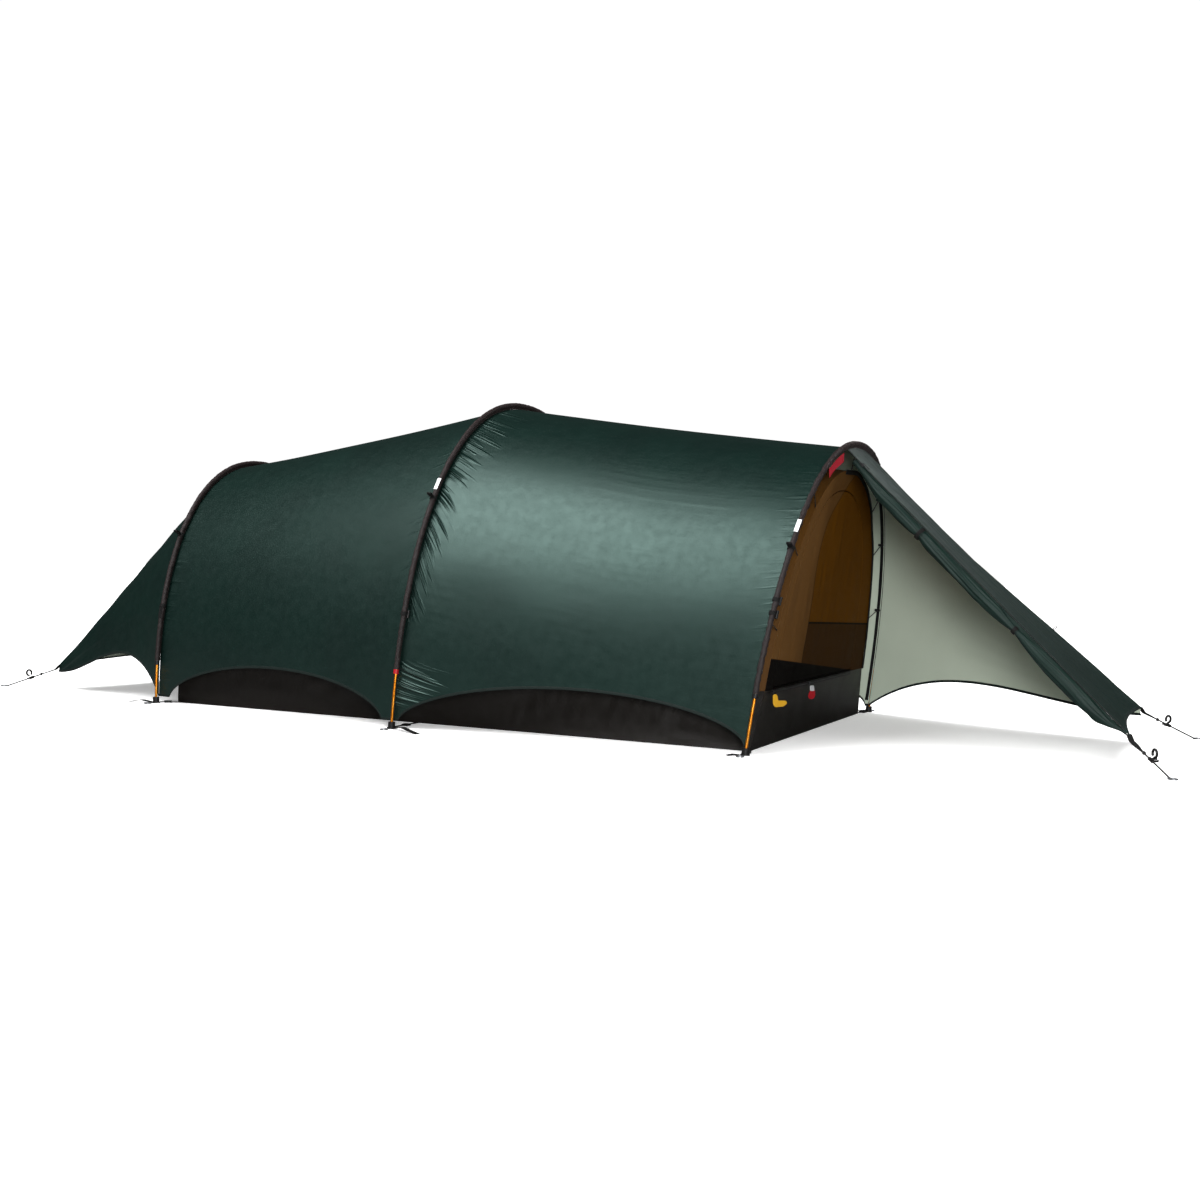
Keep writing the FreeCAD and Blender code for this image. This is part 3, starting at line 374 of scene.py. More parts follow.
class Finish:
    """A material on one Principled shader, and helpers for its procedural detail."""

    def __init__(self, name, roughness, **constants):
        self.material = bpy.data.materials.new(name)
        self.material.use_nodes = True
        tree = self.material.node_tree
        self.nodes, self.links = tree.nodes, tree.links
        self.shader = self.nodes["Principled BSDF"]
        self.shader.inputs["Roughness"].default_value = roughness
        for socket, value in constants.items():
            self.shader.inputs[socket.replace("_", " ")].default_value = value
        self.normal = None

    def add(self, kind, sockets, **settings):
        node = self.nodes.new("ShaderNode" + kind)
        for name, value in settings.items():
            setattr(node, name, value)
        for socket, value in sockets.items():
            if isinstance(value, bpy.types.NodeSocket):
                self.links.new(value, node.inputs[socket])
            else:
                node.inputs[socket].default_value = value
        return node

    def place(self, stretch=(1.0, 1.0, 1.0)):
        """The place in the row frame, stretched."""
        where = self.add("TexCoord", {}).outputs["Object"]
        return self.add("Mapping", {"Vector": where, "Scale": stretch}).outputs["Vector"]

    def on_cloth(self):
        """The place on the cloth: along it and across it, in metres."""
        return self.add("UVMap", {}, uv_map=UV).outputs["UV"]

    def cloth_axis(self, axis):
        return self.add("SeparateXYZ", {"Vector": self.on_cloth()}).outputs[axis]

    def noise(self, scale, detail=3.0, where=None):
        where = self.place() if where is None else where
        sockets = {"Vector": where, "Scale": scale, "Detail": detail}
        return self.add("TexNoise", sockets).outputs["Fac"]

    def number(self, operation, first, second=0.0, third=0.0):
        node = self.add("Math", {0: first, 1: second, 2: third}, operation=operation)
        return node.outputs[0]

    def between(self, value, low, high, start=0.0, end=1.0):
        """value's share of the way from low to high, as a number from start to end."""
        sockets = {"Value": value, "From Min": low, "From Max": high, "To Min": start, "To Max": end}
        return self.add("MapRange", sockets).outputs["Result"]

    def mix(self, share, first, second):
        node = self.add("Mix", {0: share, 6: first, 7: second}, data_type="RGBA")
        return node.outputs[2]

    def paint(self, value):
        self.links.new(value, self.shader.inputs["Base Color"])

    def rough(self, value):
        self.links.new(value, self.shader.inputs["Roughness"])

    def relief(self, height, depth, strength=1.0):
        """Fine relief, depth metres deep."""
        sockets = {"Height": height, "Distance": depth, "Strength": strength}
        if self.normal is not None:
            sockets["Normal"] = self.normal
        self.normal = self.add("Bump", sockets).outputs["Normal"]
        self.links.new(self.normal, self.shader.inputs["Normal"])

    def grid(self, pitch, line):
        """1 on the lines of a square grid on the cloth, and 0 between them."""
        sockets = {"Vector": self.on_cloth(), "Scale": 1.0, "Mortar Size": line,
                   "Mortar Smooth": 0.3, "Brick Width": pitch, "Row Height": pitch}
        return self.add("TexBrick", sockets, offset=0.0).outputs["Fac"]

    def ribs(self, pitch, direction="X"):
        """Waves pitch apart on the cloth."""
        sockets = {"Vector": self.on_cloth(), "Scale": 0.314 / pitch}
        return self.add("TexWave", sockets, bands_direction=direction).outputs["Fac"]

    def profile(self, value, points, top):
        """A line through points (value, result), for values from 0 to PROFILE_END."""
        share = self.number("DIVIDE", value, PROFILE_END)
        ramp = self.add("ValToRGB", {0: share})
        stops = ramp.color_ramp.elements
        while len(stops) < len(points):
            stops.new(0.5)
        for stop, (place, result) in zip(stops, points):
            stop.position = place / PROFILE_END
            stop.color = (result / top,) * 3 + (1.0,)
        return self.number("MULTIPLY", ramp.outputs[0], top)

    def line_noise(self, value, scale, low=0.3, high=0.7, start=0.0, end=1.0):
        """Noise along one line, spread over start to end."""
        sockets = {"W": value, "Scale": scale, "Detail": 1.0}
        noise = self.add("TexNoise", sockets, noise_dimensions="1D")
        return self.between(noise.outputs["Fac"], low, high, start, end)

    def puckers(self, away, slants, depths, reaches, scale):
        """Short folds that leave a sleeve's seam; away is the distance from it."""
        height = self.add("SeparateXYZ", {"Vector": self.place()}).outputs["Z"]
        down = self.number("ABSOLUTE", self.cloth_axis("X"))
        fall = self.number("MULTIPLY", self.profile(height, slants, 4.0), away)
        line = self.number("SUBTRACT", down, fall)
        reach = self.number("MULTIPLY", self.profile(height, reaches, 0.4),
                            self.line_noise(line, scale * 0.45, 0.3, 0.7, 0.45, 1.25))
        fade = self.number("SUBTRACT", 1.0, self.number("DIVIDE", away, reach))
        fade = self.number("MINIMUM", self.number("MAXIMUM", fade, 0.0), 1.0)
        own = self.number("MULTIPLY", self.line_noise(line, scale * 0.3, 0.35, 0.65), fade)
        depth = self.number("MULTIPLY", own, self.profile(height, depths, 1.0))
        return self.number("MULTIPLY", self.line_noise(line, scale), depth)

    def weave(self, pitch, depth, strength=0.5):
        """Crossed threads as fine relief."""
        over = self.number("MULTIPLY", self.ribs(pitch, "X"), self.ribs(pitch, "Y"))
        self.relief(over, depth, strength)


# (height, value) lists: how steeply puckers fall, how deep they are and how far they reach
MID_PUCKERS = (
    ((0.08, 0.0), (0.18, 0.2), (0.32, 1.3), (0.50, 1.25), (0.64, 0.85), (0.78, 0.45), (0.92, 0.36),
     (1.06, 0.28)),
    ((0.06, 0.0), (0.09, 1.0), (0.17, 1.0), (0.22, 0.0), (0.33, 0.0), (0.39, 0.9), (0.48, 0.9),
     (0.53, 0.35), (0.60, 0.9), (0.69, 0.6), (0.76, 0.9), (0.84, 0.6), (0.93, 0.7), (1.07, 0.5)),
    ((0.08, 0.20), (0.18, 0.18), (0.24, 0.06), (0.38, 0.07), (0.52, 0.07), (0.62, 0.09),
     (0.74, 0.10), (0.85, 0.11), (0.95, 0.14), (1.06, 0.14)),
)
SIDE_PUCKERS = (((0.0, 0.0), (0.3, 0.25), (1.0, 0.12)), ((0.05, 0.05), (0.4, 0.12), (0.8, 0.2)),
                ((0.1, 0.06), (0.9, 0.09)))


def flysheet_outside(name="flysheet_outside", length=None, first_puckers=None):
    """The fly's glossy outer face. A bay has a length, and puckers beside both its sleeves."""
    finish = Finish(name, 0.40, Specular_IOR_Level=0.62, Specular_Tint=(0.66, 1.0, 0.91, 1.0))
    patches = finish.between(finish.noise(5.0, 4.0), 0.35, 0.65)
    deep = finish.mix(patches, colour(1, 15, 12), colour(2, 20, 16))
    threads = finish.grid(*THREADS)
    finish.paint(finish.mix(finish.number("MULTIPLY", threads, 0.2), deep, colour(8, 32, 27)))
    fine = finish.noise(38.0, 5.0)
    finish.rough(finish.between(fine, 0.3, 0.7, 0.40, 0.47))
    finish.relief(finish.noise(13.0, 4.0, finish.place((0.45, 1.0, 1.7))), 0.003, 0.16)
    if length:
        away = finish.cloth_axis("Y")
        rest = finish.number("SUBTRACT", length, away)
        finish.relief(finish.puckers(away, *first_puckers, 80.0), 0.014)
        finish.relief(finish.puckers(rest, *SIDE_PUCKERS, 110.0), 0.006)
    finish.relief(threads, 0.0002, 0.12)
    return finish.material


def flysheet_inside():
    finish = Finish("flysheet_inside", 0.62, Specular_IOR_Level=0.3)
    patches = finish.between(finish.noise(4.0, 3.0), 0.3, 0.7)
    pale = finish.mix(patches, colour(200, 212, 193), colour(208, 220, 201))
    threads = finish.grid(*THREADS)
    finish.paint(finish.mix(finish.number("MULTIPLY", threads, 0.2), pale, colour(182, 194, 176)))
    finish.relief(finish.noise(14.0, 4.0), 0.003, 0.25)
    return finish.material


def woven(name, roughness, level, tone, shades, threads, slack=(), **constants):
    """A woven cloth.

    tone is the noise that mixes its shades, and the noise's range if it isn't taken whole. threads
    is for Finish.weave; slack is the scale, depth and strength of its soft relief.
    """
    finish = Finish(name, roughness, Specular_IOR_Level=level, **constants)
    share = finish.noise(*tone[:2])
    if len(tone) > 2:
        share = finish.between(share, *tone[2:])
    finish.paint(finish.mix(share, *shades))
    finish.weave(*threads)
    if slack:
        scale, depth, strength = slack
        finish.relief(finish.noise(scale, 4.0), depth, strength)
    return finish.material


def wall_cloth():
    """Amber above and black below, with an upright seam and a level one. Under the level seam the amber
    is darker, painted shade where the double layer lets less light through; on the near side of the
    upright seam a paler strip is painted light.
    """
    finish = Finish("wall_cloth", 0.8, Specular_IOR_Level=0.04)
    parts = finish.add("SeparateXYZ", {"Vector": finish.place()}).outputs
    height, side = parts["Z"], parts["Y"]

    def over(line):
        """How far above a (height, slope) line."""
        return finish.number("SUBTRACT", height, finish.number("MULTIPLY_ADD", side, line[1], line[0]))

    def shades(first, second, share):
        return finish.mix(share, colour(*first), colour(*second))

    def seam(cloth, away, half, strength):
        """The cloth with a dark line as far as half from where away is 0."""
        line = finish.between(finish.number("ABSOLUTE", away), half, half + 0.001, strength, 0.0)
        return finish.mix(line, cloth, colour(20, 13, 7))

    rise = finish.number("MAXIMUM", finish.number("SUBTRACT", height, SEAM_BENDS_Z), 0.0)
    bend = finish.number("MULTIPLY", finish.number("MULTIPLY", rise, rise), SEAM_BEND)
    past = finish.number("SUBTRACT", side, finish.number("ADD", bend, WALL_SEAM_Y))
    level = over(WALL_SEAM)
    mottled = finish.noise(3.0)
    amber = shades((92, 57, 7), (101, 63, 10), mottled)
    # painted shade: under the level seam the double layer is darker, as it lets less light through
    double_layer_shade = shades((58, 37, 14), (65, 42, 17), mottled)
    # painted light: a paler strip on the near side of the upright seam, where the outer tent's shade
    # doesn't fall
    strip = shades((94, 65, 33), (103, 72, 37), mottled)
    main = seam(finish.mix(finish.between(level, -0.002, 0.002), double_layer_shade, amber), level, 0.0025, 1.0)
    cloth = seam(finish.mix(finish.between(past, -0.002, 0.002), strip, main), past, 0.0020, 0.8)
    above = finish.between(over(BLACK_BAND), -0.001, 0.001)
    black = shades((11, 9, 8), (16, 13, 11), finish.noise(9.0))
    finish.paint(finish.mix(above, black, cloth))
    finish.weave(0.0014, 0.0002, 0.3)
    finish.relief(finish.noise(12.0, 4.0), 0.004, 0.4)
    return finish.material


def webbing(name, dark, light):
    finish = Finish(name, 0.7, Specular_IOR_Level=0.2)
    ribs = finish.ribs(0.0022, "Y")
    finish.paint(finish.mix(ribs, dark, light))
    finish.relief(finish.ribs(0.0016, "X"), 0.0005, 0.7)
    finish.relief(ribs, 0.0004, 0.6)
    return finish.material


def plain_cloth(name, dark, light, roughness=0.6):
    return woven(name, roughness, 0.35, (35.0,), (dark, light), (0.0013, 0.0003, 0.5))


def moulded(name, dark, light, roughness=0.45):
    finish = Finish(name, roughness, Specular_IOR_Level=0.35)
    grain = finish.noise(900.0, 2.0)
    finish.paint(finish.mix(finish.noise(60.0), dark, light))
    finish.rough(finish.between(grain, 0.3, 0.7, roughness - 0.06, roughness + 0.1))
    finish.relief(grain, 0.0001, 0.5)
    return finish.material


def brushed(name, dark, light, roughness=0.3):
    finish = Finish(name, roughness, Metallic=1.0)
    streaks = finish.noise(400.0, 3.0, finish.place((1.0, 1.0, 0.12)))
    worn = finish.between(finish.noise(30.0, 4.0), 0.45, 0.7)
    finish.paint(finish.mix(worn, dark, light))
    finish.rough(finish.between(streaks, 0.3, 0.7, roughness - 0.05, roughness + 0.12))
    finish.relief(streaks, 0.0001, 0.25)
    return finish.material


def braided(name, dark, light):
    finish = Finish(name, 0.65)
    strands = finish.noise(700.0, 2.0)
    finish.paint(finish.mix(finish.between(strands, 0.4, 0.6), dark, light))
    finish.relief(strands, 0.0004, 0.8)
    return finish.material


BLACK, OFF_BLACK = colour(10, 10, 10), colour(22, 21, 21)
FLY_OUT, FLY_IN = flysheet_outside(), flysheet_inside()
SLEEVE = woven("sleeve_cloth", 0.6, 0.35, (60.0,), (colour(20, 15, 15), colour(38, 28, 28)),
               (0.0012, 0.0003, 0.6), (90.0, 0.0015, 0.35), Sheen_Weight=0.04,
               Sheen_Roughness=0.4, Sheen_Tint=colour(150, 110, 105))
AMBER = woven("inner_cloth", 0.6, 0.3, (3.0, 3.0, 0.3, 0.7), (colour(78, 49, 10), colour(88, 56, 13)),
              (0.0014, 0.0002, 0.3), (11.0, 0.004, 0.4))
WALL = wall_cloth()
TRAY = woven("tray_cloth", 0.5, 0.4, (8.0, 4.0), (colour(16, 12, 9), colour(21, 17, 13)),
             (0.0016, 0.0003, 0.4), (18.0, 0.004, 0.4))
WEBBING = webbing("black_webbing", BLACK, OFF_BLACK)
BINDING = plain_cloth("edge_binding", colour(9, 20, 18), colour(16, 32, 28))
RED_CLOTH = plain_cloth("red_cloth", colour(168, 18, 38), colour(186, 34, 52))
REFLECTIVE = plain_cloth("reflective_tape", colour(232, 234, 236), colour(248, 249, 250), 0.4)
ROLLED = plain_cloth("rolled_cloth", colour(4, 26, 21), colour(7, 34, 28))
ZIP_TAPE = plain_cloth("zip_tape", BLACK, OFF_BLACK)
ZIP_TEETH = moulded("zip_teeth", BLACK, OFF_BLACK, 0.35)
BLACK_PLASTIC = moulded("black_plastic", BLACK, OFF_BLACK)
RED_PLASTIC = moulded("red_plastic", colour(150, 10, 22), colour(186, 24, 36), 0.35)
YELLOW_PLASTIC = moulded("yellow_plastic", colour(206, 150, 24), colour(224, 174, 44), 0.5)
GREY_PLASTIC = moulded("grey_plastic", colour(176, 178, 180), colour(206, 207, 208), 0.35)
GOLD = brushed("gold_anodised", colour(222, 132, 34), colour(240, 162, 62), 0.32)
ALLOY = brushed("plain_alloy", colour(178, 180, 184), colour(206, 208, 210))
SLIDER_METAL = brushed("slider_metal", colour(44, 44, 46), colour(70, 70, 72), 0.35)
CORD = braided("guy_cord", colour(12, 12, 13), colour(44, 43, 42))
ELASTIC = braided("elastic_cord", BLACK, OFF_BLACK)
RUBBER = braided("shock_cord", colour(190, 186, 176), colour(210, 206, 196))
CLOTH_SIDES = (FLY_OUT, FLY_IN, BINDING)


def stands_for(piece, slot, *nodes):
    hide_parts(*nodes)
    return piece


def cut_size(points):
    """A sheet's flat width and length, and its area, from the grid before its folds."""
    width, length = distances(points, 1)[:, -1].max(), distances(points, 0)[-1].max()
    edges = np.cross(np.diff(points, axis=0)[:, :-1], np.diff(points, axis=1)[:-1])
    return (float(width), float(length)), float(np.linalg.norm(edges, axis=-1).sum())


def declare_sheet(points):
    flat, area = cut_size(points)
    area = min(area, flat[0] * flat[1])


def edge_tape(name, front, edge, width):
    """A binding folded over one edge of a sheet: "last" row, or "low" or "high" column."""
    flip = 1
    if edge == "last":
        front, edge, flip = np.swapaxes(front, 0, 1), "high", -1
    line, beside = (front[:, 0], front[:, 3]) if edge == "low" else (front[:, -1], front[:, -4])
    out = normals(front)[:, 0 if edge == "low" else -1] * flip
    proud, under, bevel = TAPE_PROUD, -(CLOTH + TAPE_PROUD), 0.0003
    profile = np.array([(proud - bevel, -3 * bevel), (proud, -bevel), (proud, width - bevel),
                        (0.0001, width), (-CLOTH - 0.0001, width), (under, width - bevel),
                        (under, -bevel), (under + bevel, -3 * bevel)])
    rings = swept(line, out, unit(beside - line), profile)
    along = unit(np.gradient(line, axis=0))
    turning = np.einsum("ij,ij->i", np.cross(out, unit(beside - line)), along).mean()
    return tube_mesh(name, rings if turning > 0 else rings[:, ::-1], BINDING)


def fly_panel(name, node, points, folds, tapes, sides=CLOTH_SIDES, ridge=False):
    """A panel of the flysheet with its bindings: tapes has each one's name, edge and width."""
    piece, front = sheet_mesh(f"{name}_cloth", points, folds, sides, centred=ridge)
    stands_for(piece, "flysheet_cloth", node)
    made = [ridge_seam(name, front)] if ridge else []
    made += [edge_tape(tape, front, edge, width) for tape, edge, width in tapes]
    declare_sheet(points)


# ---- sleeves ----
def sleeve(name, hoop):
    """The fabric sleeve: a pocket over the pole, gathered along its stitches, and a fin."""
    low, high = both_angles(hoop, SLEEVE_END_Z[name])
    angles = even_angles(hoop, low, high, 0.0038, POLE_INSET)
    path = arch_point(hoop, angles, POLE_INSET)
    _, outward, across = arch_frame(hoop, angles)
    lengths = distances(path, 0)
    seed = 40 + list(HOOPS).index(name) * 10

    def waves(pitch, number):
        return wander(lengths, pitch, seed + number)[:, None]

    turn = np.radians(np.linspace(-140, 140, 17))
    pocket = POCKET_R * np.stack([np.cos(turn), np.sin(turn)], axis=-1)
    fin = np.array([(-0.0086, 0.0026), (-0.0100, 0.0016), (-0.0118, 0.0014), (-0.0134, 0.0014)])
    profile = np.concatenate([fin[::-1] * (1, -1), pocket, fin])
    rings = np.broadcast_to(profile, (len(angles), *profile.shape)).copy()
    round_part = np.clip((profile[:, 0] + 0.0100) / 0.004, 0, 1)
    ruck = waves(0.0045, 0) * 0.0010 + waves(0.017, 1) * 0.0008
    rings[..., 1] += ruck * round_part * np.clip(1 - profile[:, 0] / POCKET_R, 0.3, 1)
    rings[..., 0] += 0.0006 * waves(0.006, 2) * round_part
    rings[..., 1] *= 1 + 0.14 * waves(0.009, 3) * round_part
    rings = swept(path, outward, across, rings)[:, ::-1]
    piece = tube_mesh(f"{name}_sleeve_cloth", rings, SLEEVE, along=lengths)
    return stands_for(piece, "sleeve_cloth", f"{name}_sleeve")


# ---- outer tent ----
def hem_height(toe):
    """A hem that rises in an arch between two feet and stays low for toe of its span at each."""
    def height(share):
        inner = np.clip((share - toe) / (1 - 2 * toe), 0, 1)
        return HEM_END_Z + (HEM_MID_Z - HEM_END_Z) * (1 - (2 * inner - 1) ** 2) ** 0.6
    return height


def bay(rear, front, inset, shift, sag, low_z, spacing=0.0056):
    """A grid of points from one arch to the next, which sags between them."""
    first = even_angles(rear, 0, 180, spacing)
    steps = (first / 180)[None, :]
    length = front.x - rear.x
    even = np.linspace(0, 1, int(length / (1.6 * spacing)) + 1)
    share = (even - 0.6 * np.sin(2 * math.pi * even) / (2 * math.pi))[:, None]
    height = rear.height * (1 - share) + front.height * share
    low = np.degrees(np.arcsin((low_z(share) / height) ** (ROUNDNESS / 2)))
    angle = low + (180 - 2 * low) * steps
    start, end = arch_point(rear, angle, inset, shift), arch_point(front, angle, inset, -shift)
    ny, nz = arch_normal(rear, angle)
    drop = sag * 4 * share * (1 - share) * np.sin(np.radians(angle))
    points = start * (1 - share[..., None]) + end * share[..., None]
    return points - np.stack([np.zeros_like(ny), ny, nz], axis=-1) * drop[..., None]


def gathers(down, away, height, seed, slants, strengths, reach, pitch):
    """Folds that start at a sleeve's seam.

    down is the way down the seam from its crown, away the distance from it. slants and strengths
    are lists of (height, value): how steeply the folds fall, and how deep they are.
    """
    slant = np.interp(height, *zip(*slants))
    strength = np.interp(height, *zip(*strengths))
    line = down - slant * away
    own = 0.55 + 0.45 * wander(line, pitch * 3.1, seed + 1)
    length = reach * (0.65 + 0.35 * wander(line, pitch * 1.7, seed + 2))
    fade = np.exp(-(away / length) ** 2) * np.clip(away / 0.006, 0, 1)
    return wander(line, pitch / 2, seed) * own * strength * fade


def bay_wrinkles(points, seed, from_first, from_last):
    """Relief on a bay: gathers at both sleeves, slack waves, and shallow lines along it."""
    lengths = distances(points, 1)
    past = lengths - lengths[:, -1:] / 2
    down, side = np.abs(past), np.sign(past)
    away = distances(points, 0)
    rest = away[-1:] - away
    height = points[..., 2]
    total = np.zeros(points.shape[:2])
    for sign in (-1, 1):
        here = side == sign
        at = seed + 7 * (sign + 1)
        total += here * gathers(down, away, height, at, *from_first)
        total += here * gathers(down, rest, height, at + 3, *from_last)
    middle = eased(away / 0.25) * eased(rest / 0.25)
    along = 0.5 + 0.5 * billow(away, down * side, 0.16, seed + 20)
    place = down * side + 0.02 * wander(away, 0.2, seed)
    total += 0.00035 * wander(place, 0.007, seed + 21) * along ** 3
    total += 0.0016 * billow(away * 0.5, down * side, 0.15, seed + 22) * middle
    return total


def ridge_seam(name, front):
    """The flat seam along a bay's ridge."""
    ridge = front[:, front.shape[1] // 2] + [0, 0, 0.0002]
    return strap(f"{name}_ridge_seam", ridge[::4], 0.011, 0.0012, BINDING, count=120)


REAR_SLANTS = ((0.2, 0.6), (0.9, 0.2))
REAR_FOLDS = ((0.1, 0.0003), (0.5, 0.0006), (0.9, 0.0004))
MID_SLANTS = ((0.08, 0.0), (0.18, 0.2), (0.32, 1.3), (0.50, 1.25), (0.64, 0.85), (0.78, 0.45),
              (1.05, 0.3))
MID_FOLDS = ((0.28, 0.0), (0.38, 0.0010), (0.53, 0.0006), (0.62, 0.0012), (0.80, 0.0012),
             (1.03, 0.0010))
FRONT_SLANTS, FRONT_FOLDS = ((0.0, -0.4), (1.0, -0.2)), ((0.1, 0.0002), (0.5, 0.0005), (0.8, 0.0008))
# each bay's two hoops, the toe of its hem, its seed, its gathers at both hoops, and its puckers
BAYS = (
    ("rear", "mid", 0.05, 100, (REAR_SLANTS, REAR_FOLDS, 0.07, 0.016),
     (REAR_SLANTS, REAR_FOLDS, 0.09, 0.018), SIDE_PUCKERS),
    ("mid", "front", 0.01, 200, (MID_SLANTS, MID_FOLDS, 0.12, 0.026),
     (FRONT_SLANTS, FRONT_FOLDS, 0.06, 0.018), MID_PUCKERS),
)


def outer_bays():
    for name, (rear, front, toe, seed, from_rear, from_front, puckers) in zip(("rear", "front"), BAYS):
        hem = hem_height(toe)
        points = bay(HOOPS[rear], HOOPS[front], SKIN_INSET, SKIN_SHIFT, BAY_SAG, hem)
        wrinkles = bay_wrinkles(points, seed, from_rear, from_front)
        length = float(distances(points, 0)[-1].mean())
        outside = flysheet_outside(f"{name}_bay_outside", length, puckers)
        tapes = [(f"{name}_bay_near_hem", "low", 0.008), (f"{name}_bay_far_hem", "high", 0.008)]
        fly_panel(f"{name}_bay", f"outer_{name}_bay", points, wrinkles, tapes,
                  (outside, FLY_IN, BINDING), ridge=True)


def hoop_edge(hoop, y_from, y_to, shift):
    """A function of v along the skin of a hoop from y_from to y_to, or to its "near" or "far" foot."""
    first = angle_at_y(hoop, y_from, SKIN_INSET)
    if y_to in ("near", "far"):
        last = both_angles(hoop, HEM_END_Z)[y_to == "far"]
    else:
        last = angle_at_y(hoop, y_to, SKIN_INSET)
    return lambda v: arch_point(hoop, first + (last - first) * v, SKIN_INSET, shift)


def corner_edge(first, last, hollow):
    """A function of v from one corner to the other, drawn in by hollow at its middle."""
    def edge(v):
        v = v[..., None]
        return first * (1 - v) + last * v + np.array(hollow) * np.sin(math.pi * v)
    return edge


def spread(start_at, end_at, hem_lift=0.0, sag=0.0, rows=110, columns=64):
    """A grid from one edge, start_at(v), to another, end_at(v); hem_lift draws v = 1 up."""
    share = np.linspace(0, 1, rows + 1)[:, None]
    even = np.linspace(0, 1, columns + 1)[None, :]
    bow = 4 * share * (1 - share)
    v = even * (1 - hem_lift * bow)
    points = start_at(v) * (1 - share[..., None]) + end_at(v) * share[..., None]
    points[..., 2] -= sag * bow * np.sin(math.pi * even)
    return points


def tension_folds(points, seed, depth, pitch, clear=0.1):
    """Long shallow folds that run from the hoop to the corner."""
    across = distances(points, 1)
    width = across[:, -1:]
    place = across / width * width.mean()
    share = np.linspace(0, 1, len(points))[:, None]
    ends = eased(share / clear) * eased((1 - share) / 0.04)
    swing = 0.02 * wander(share * 1.5, 0.35, seed + 5)
    own = 0.6 + 0.4 * wander(place, pitch * 2.3, seed + 1)
    soft = 0.0016 * billow(share * 1.5, place, 0.13, seed + 2)
    return (depth * wander(place + swing, pitch / 2, seed) * own + soft) * ends


def below(point):
    return point - np.array([0, 0, CORNER_DEPTH])


def vestibule():
    """The front vestibule's ridge panel and far panel."""
    hoop, shift = HOOPS["front"], SKIN_SHIFT
    start = hoop_edge(hoop, ZIP_Y, RIDGE_FAR_Y - SEAM_GAP / 2, shift)
    end = corner_edge(NEAR_CORNER, FAR_CORNER - (0, SEAM_GAP / 2, 0), (-0.024, 0, 0.006))
    points = spread(start, end, sag=0.010, columns=56, rows=160)
    tapes = [("vestibule_ridge_seam", "high", 0.007), ("vestibule_end_hem", "last", 0.008),
             ("vestibule_zip_edge", "low", 0.006)]
    fly_panel("vestibule_ridge", "vestibule_ridge_panel", points,
              tension_folds(points, 300, 0.0016, 0.030), tapes)
    start = hoop_edge(hoop, RIDGE_FAR_Y, "far", shift)
    edge = corner_edge(FAR_CORNER, below(FAR_CORNER), (-0.004, 0, 0))
    points = spread(start, edge, hem_lift=0.13, rows=120, columns=110)
    fly_panel("vestibule_far", "vestibule_far_panel", points,
              tension_folds(points, 320, 0.0007, 0.05),
              [("vestibule_far_hem", "high", 0.008)])


def rear_vestibule():
    """The rear vestibule's centre panel and two side panels."""
    hoop, shift = HOOPS["rear"], -SKIN_SHIFT
    inset = np.array([0, SEAM_GAP / 2, 0])
    near, far = REAR_CORNERS
    start = hoop_edge(hoop, REAR_RIDGE_Y - SEAM_GAP / 2, SEAM_GAP / 2 - REAR_RIDGE_Y, shift)
    end = corner_edge(far - inset, near + inset, (0.060, 0, 0.024))
    points = spread(start, end, sag=0.008, rows=110, columns=70)
    tapes = [("rear_centre_hem", "last", 0.008), ("rear_far_ridge_seam", "low", 0.006),
             ("rear_near_ridge_seam", "high", 0.006)]
    fly_panel("rear_centre", "rear_centre_panel", points,
              tension_folds(points, 340, 0.0012, 0.04), tapes)
    for name, corner, side in (("near", near, -1), ("far", far, 1)):
        start = hoop_edge(hoop, side * REAR_RIDGE_Y, name, shift)
        edge = corner_edge(corner, below(corner), (0.004, 0, 0))
        points = spread(start, edge, hem_lift=0.14, rows=90, columns=110)
        folds = tension_folds(points, 350 + side, 0.0010, 0.05) * side * -1
        if side > 0:
            points, folds = points[:, ::-1], folds[:, ::-1]
        fly_panel(f"rear_{name}", f"rear_{name}_panel", points, folds,
                  [(f"rear_{name}_hem", "low" if side > 0 else "high", 0.008)])


# ---- zips ----
def zip_axes():
    """The vestibule zip's start and end, and its unit vectors along, out of the panel, and up."""
    start = hoop_edge(HOOPS["front"], ZIP_Y, RIDGE_FAR_Y, 0.0021)(np.array(0.0))
    along = unit(NEAR_CORNER - start)
    side = np.array([0.0, -1.0, 0.0])
    out = unit(side - along * (along @ side))
    up = unit(np.cross(out, along))
    return start, NEAR_CORNER, along, out, up if up[2] > 0 else -up


def boxes(name, centres, axes, size, material):
    """Many small blocks in one piece. axes are three unit vectors, size the lengths along them."""
    corner = np.array([(x, y, z) for x in (-1, 1) for y in (-1, 1) for z in (-1, 1)], float) / 2
    points = np.asarray(centres)[:, None] + (corner * size) @ np.array(axes)
    one = np.array([(0, 1, 3, 2), (4, 6, 7, 5), (0, 4, 5, 1), (2, 3, 7, 6), (0, 2, 6, 4),
                    (1, 5, 7, 3)])
    if np.linalg.det(np.array(axes)) < 0:
        one = one[:, ::-1]
    faces = (one[None] + 8 * np.arange(len(centres))[:, None, None]).reshape(-1, 4)
    return make_piece(name, points, faces.tolist(), np.zeros((len(faces) * 4, 2)), [material])


ZIP_PITCH = 0.0032
TOOTH = (0.0019, 0.0034, 0.0014)
TAPE_WIDTH, TAPE_GAP = 0.0034, 0.0028


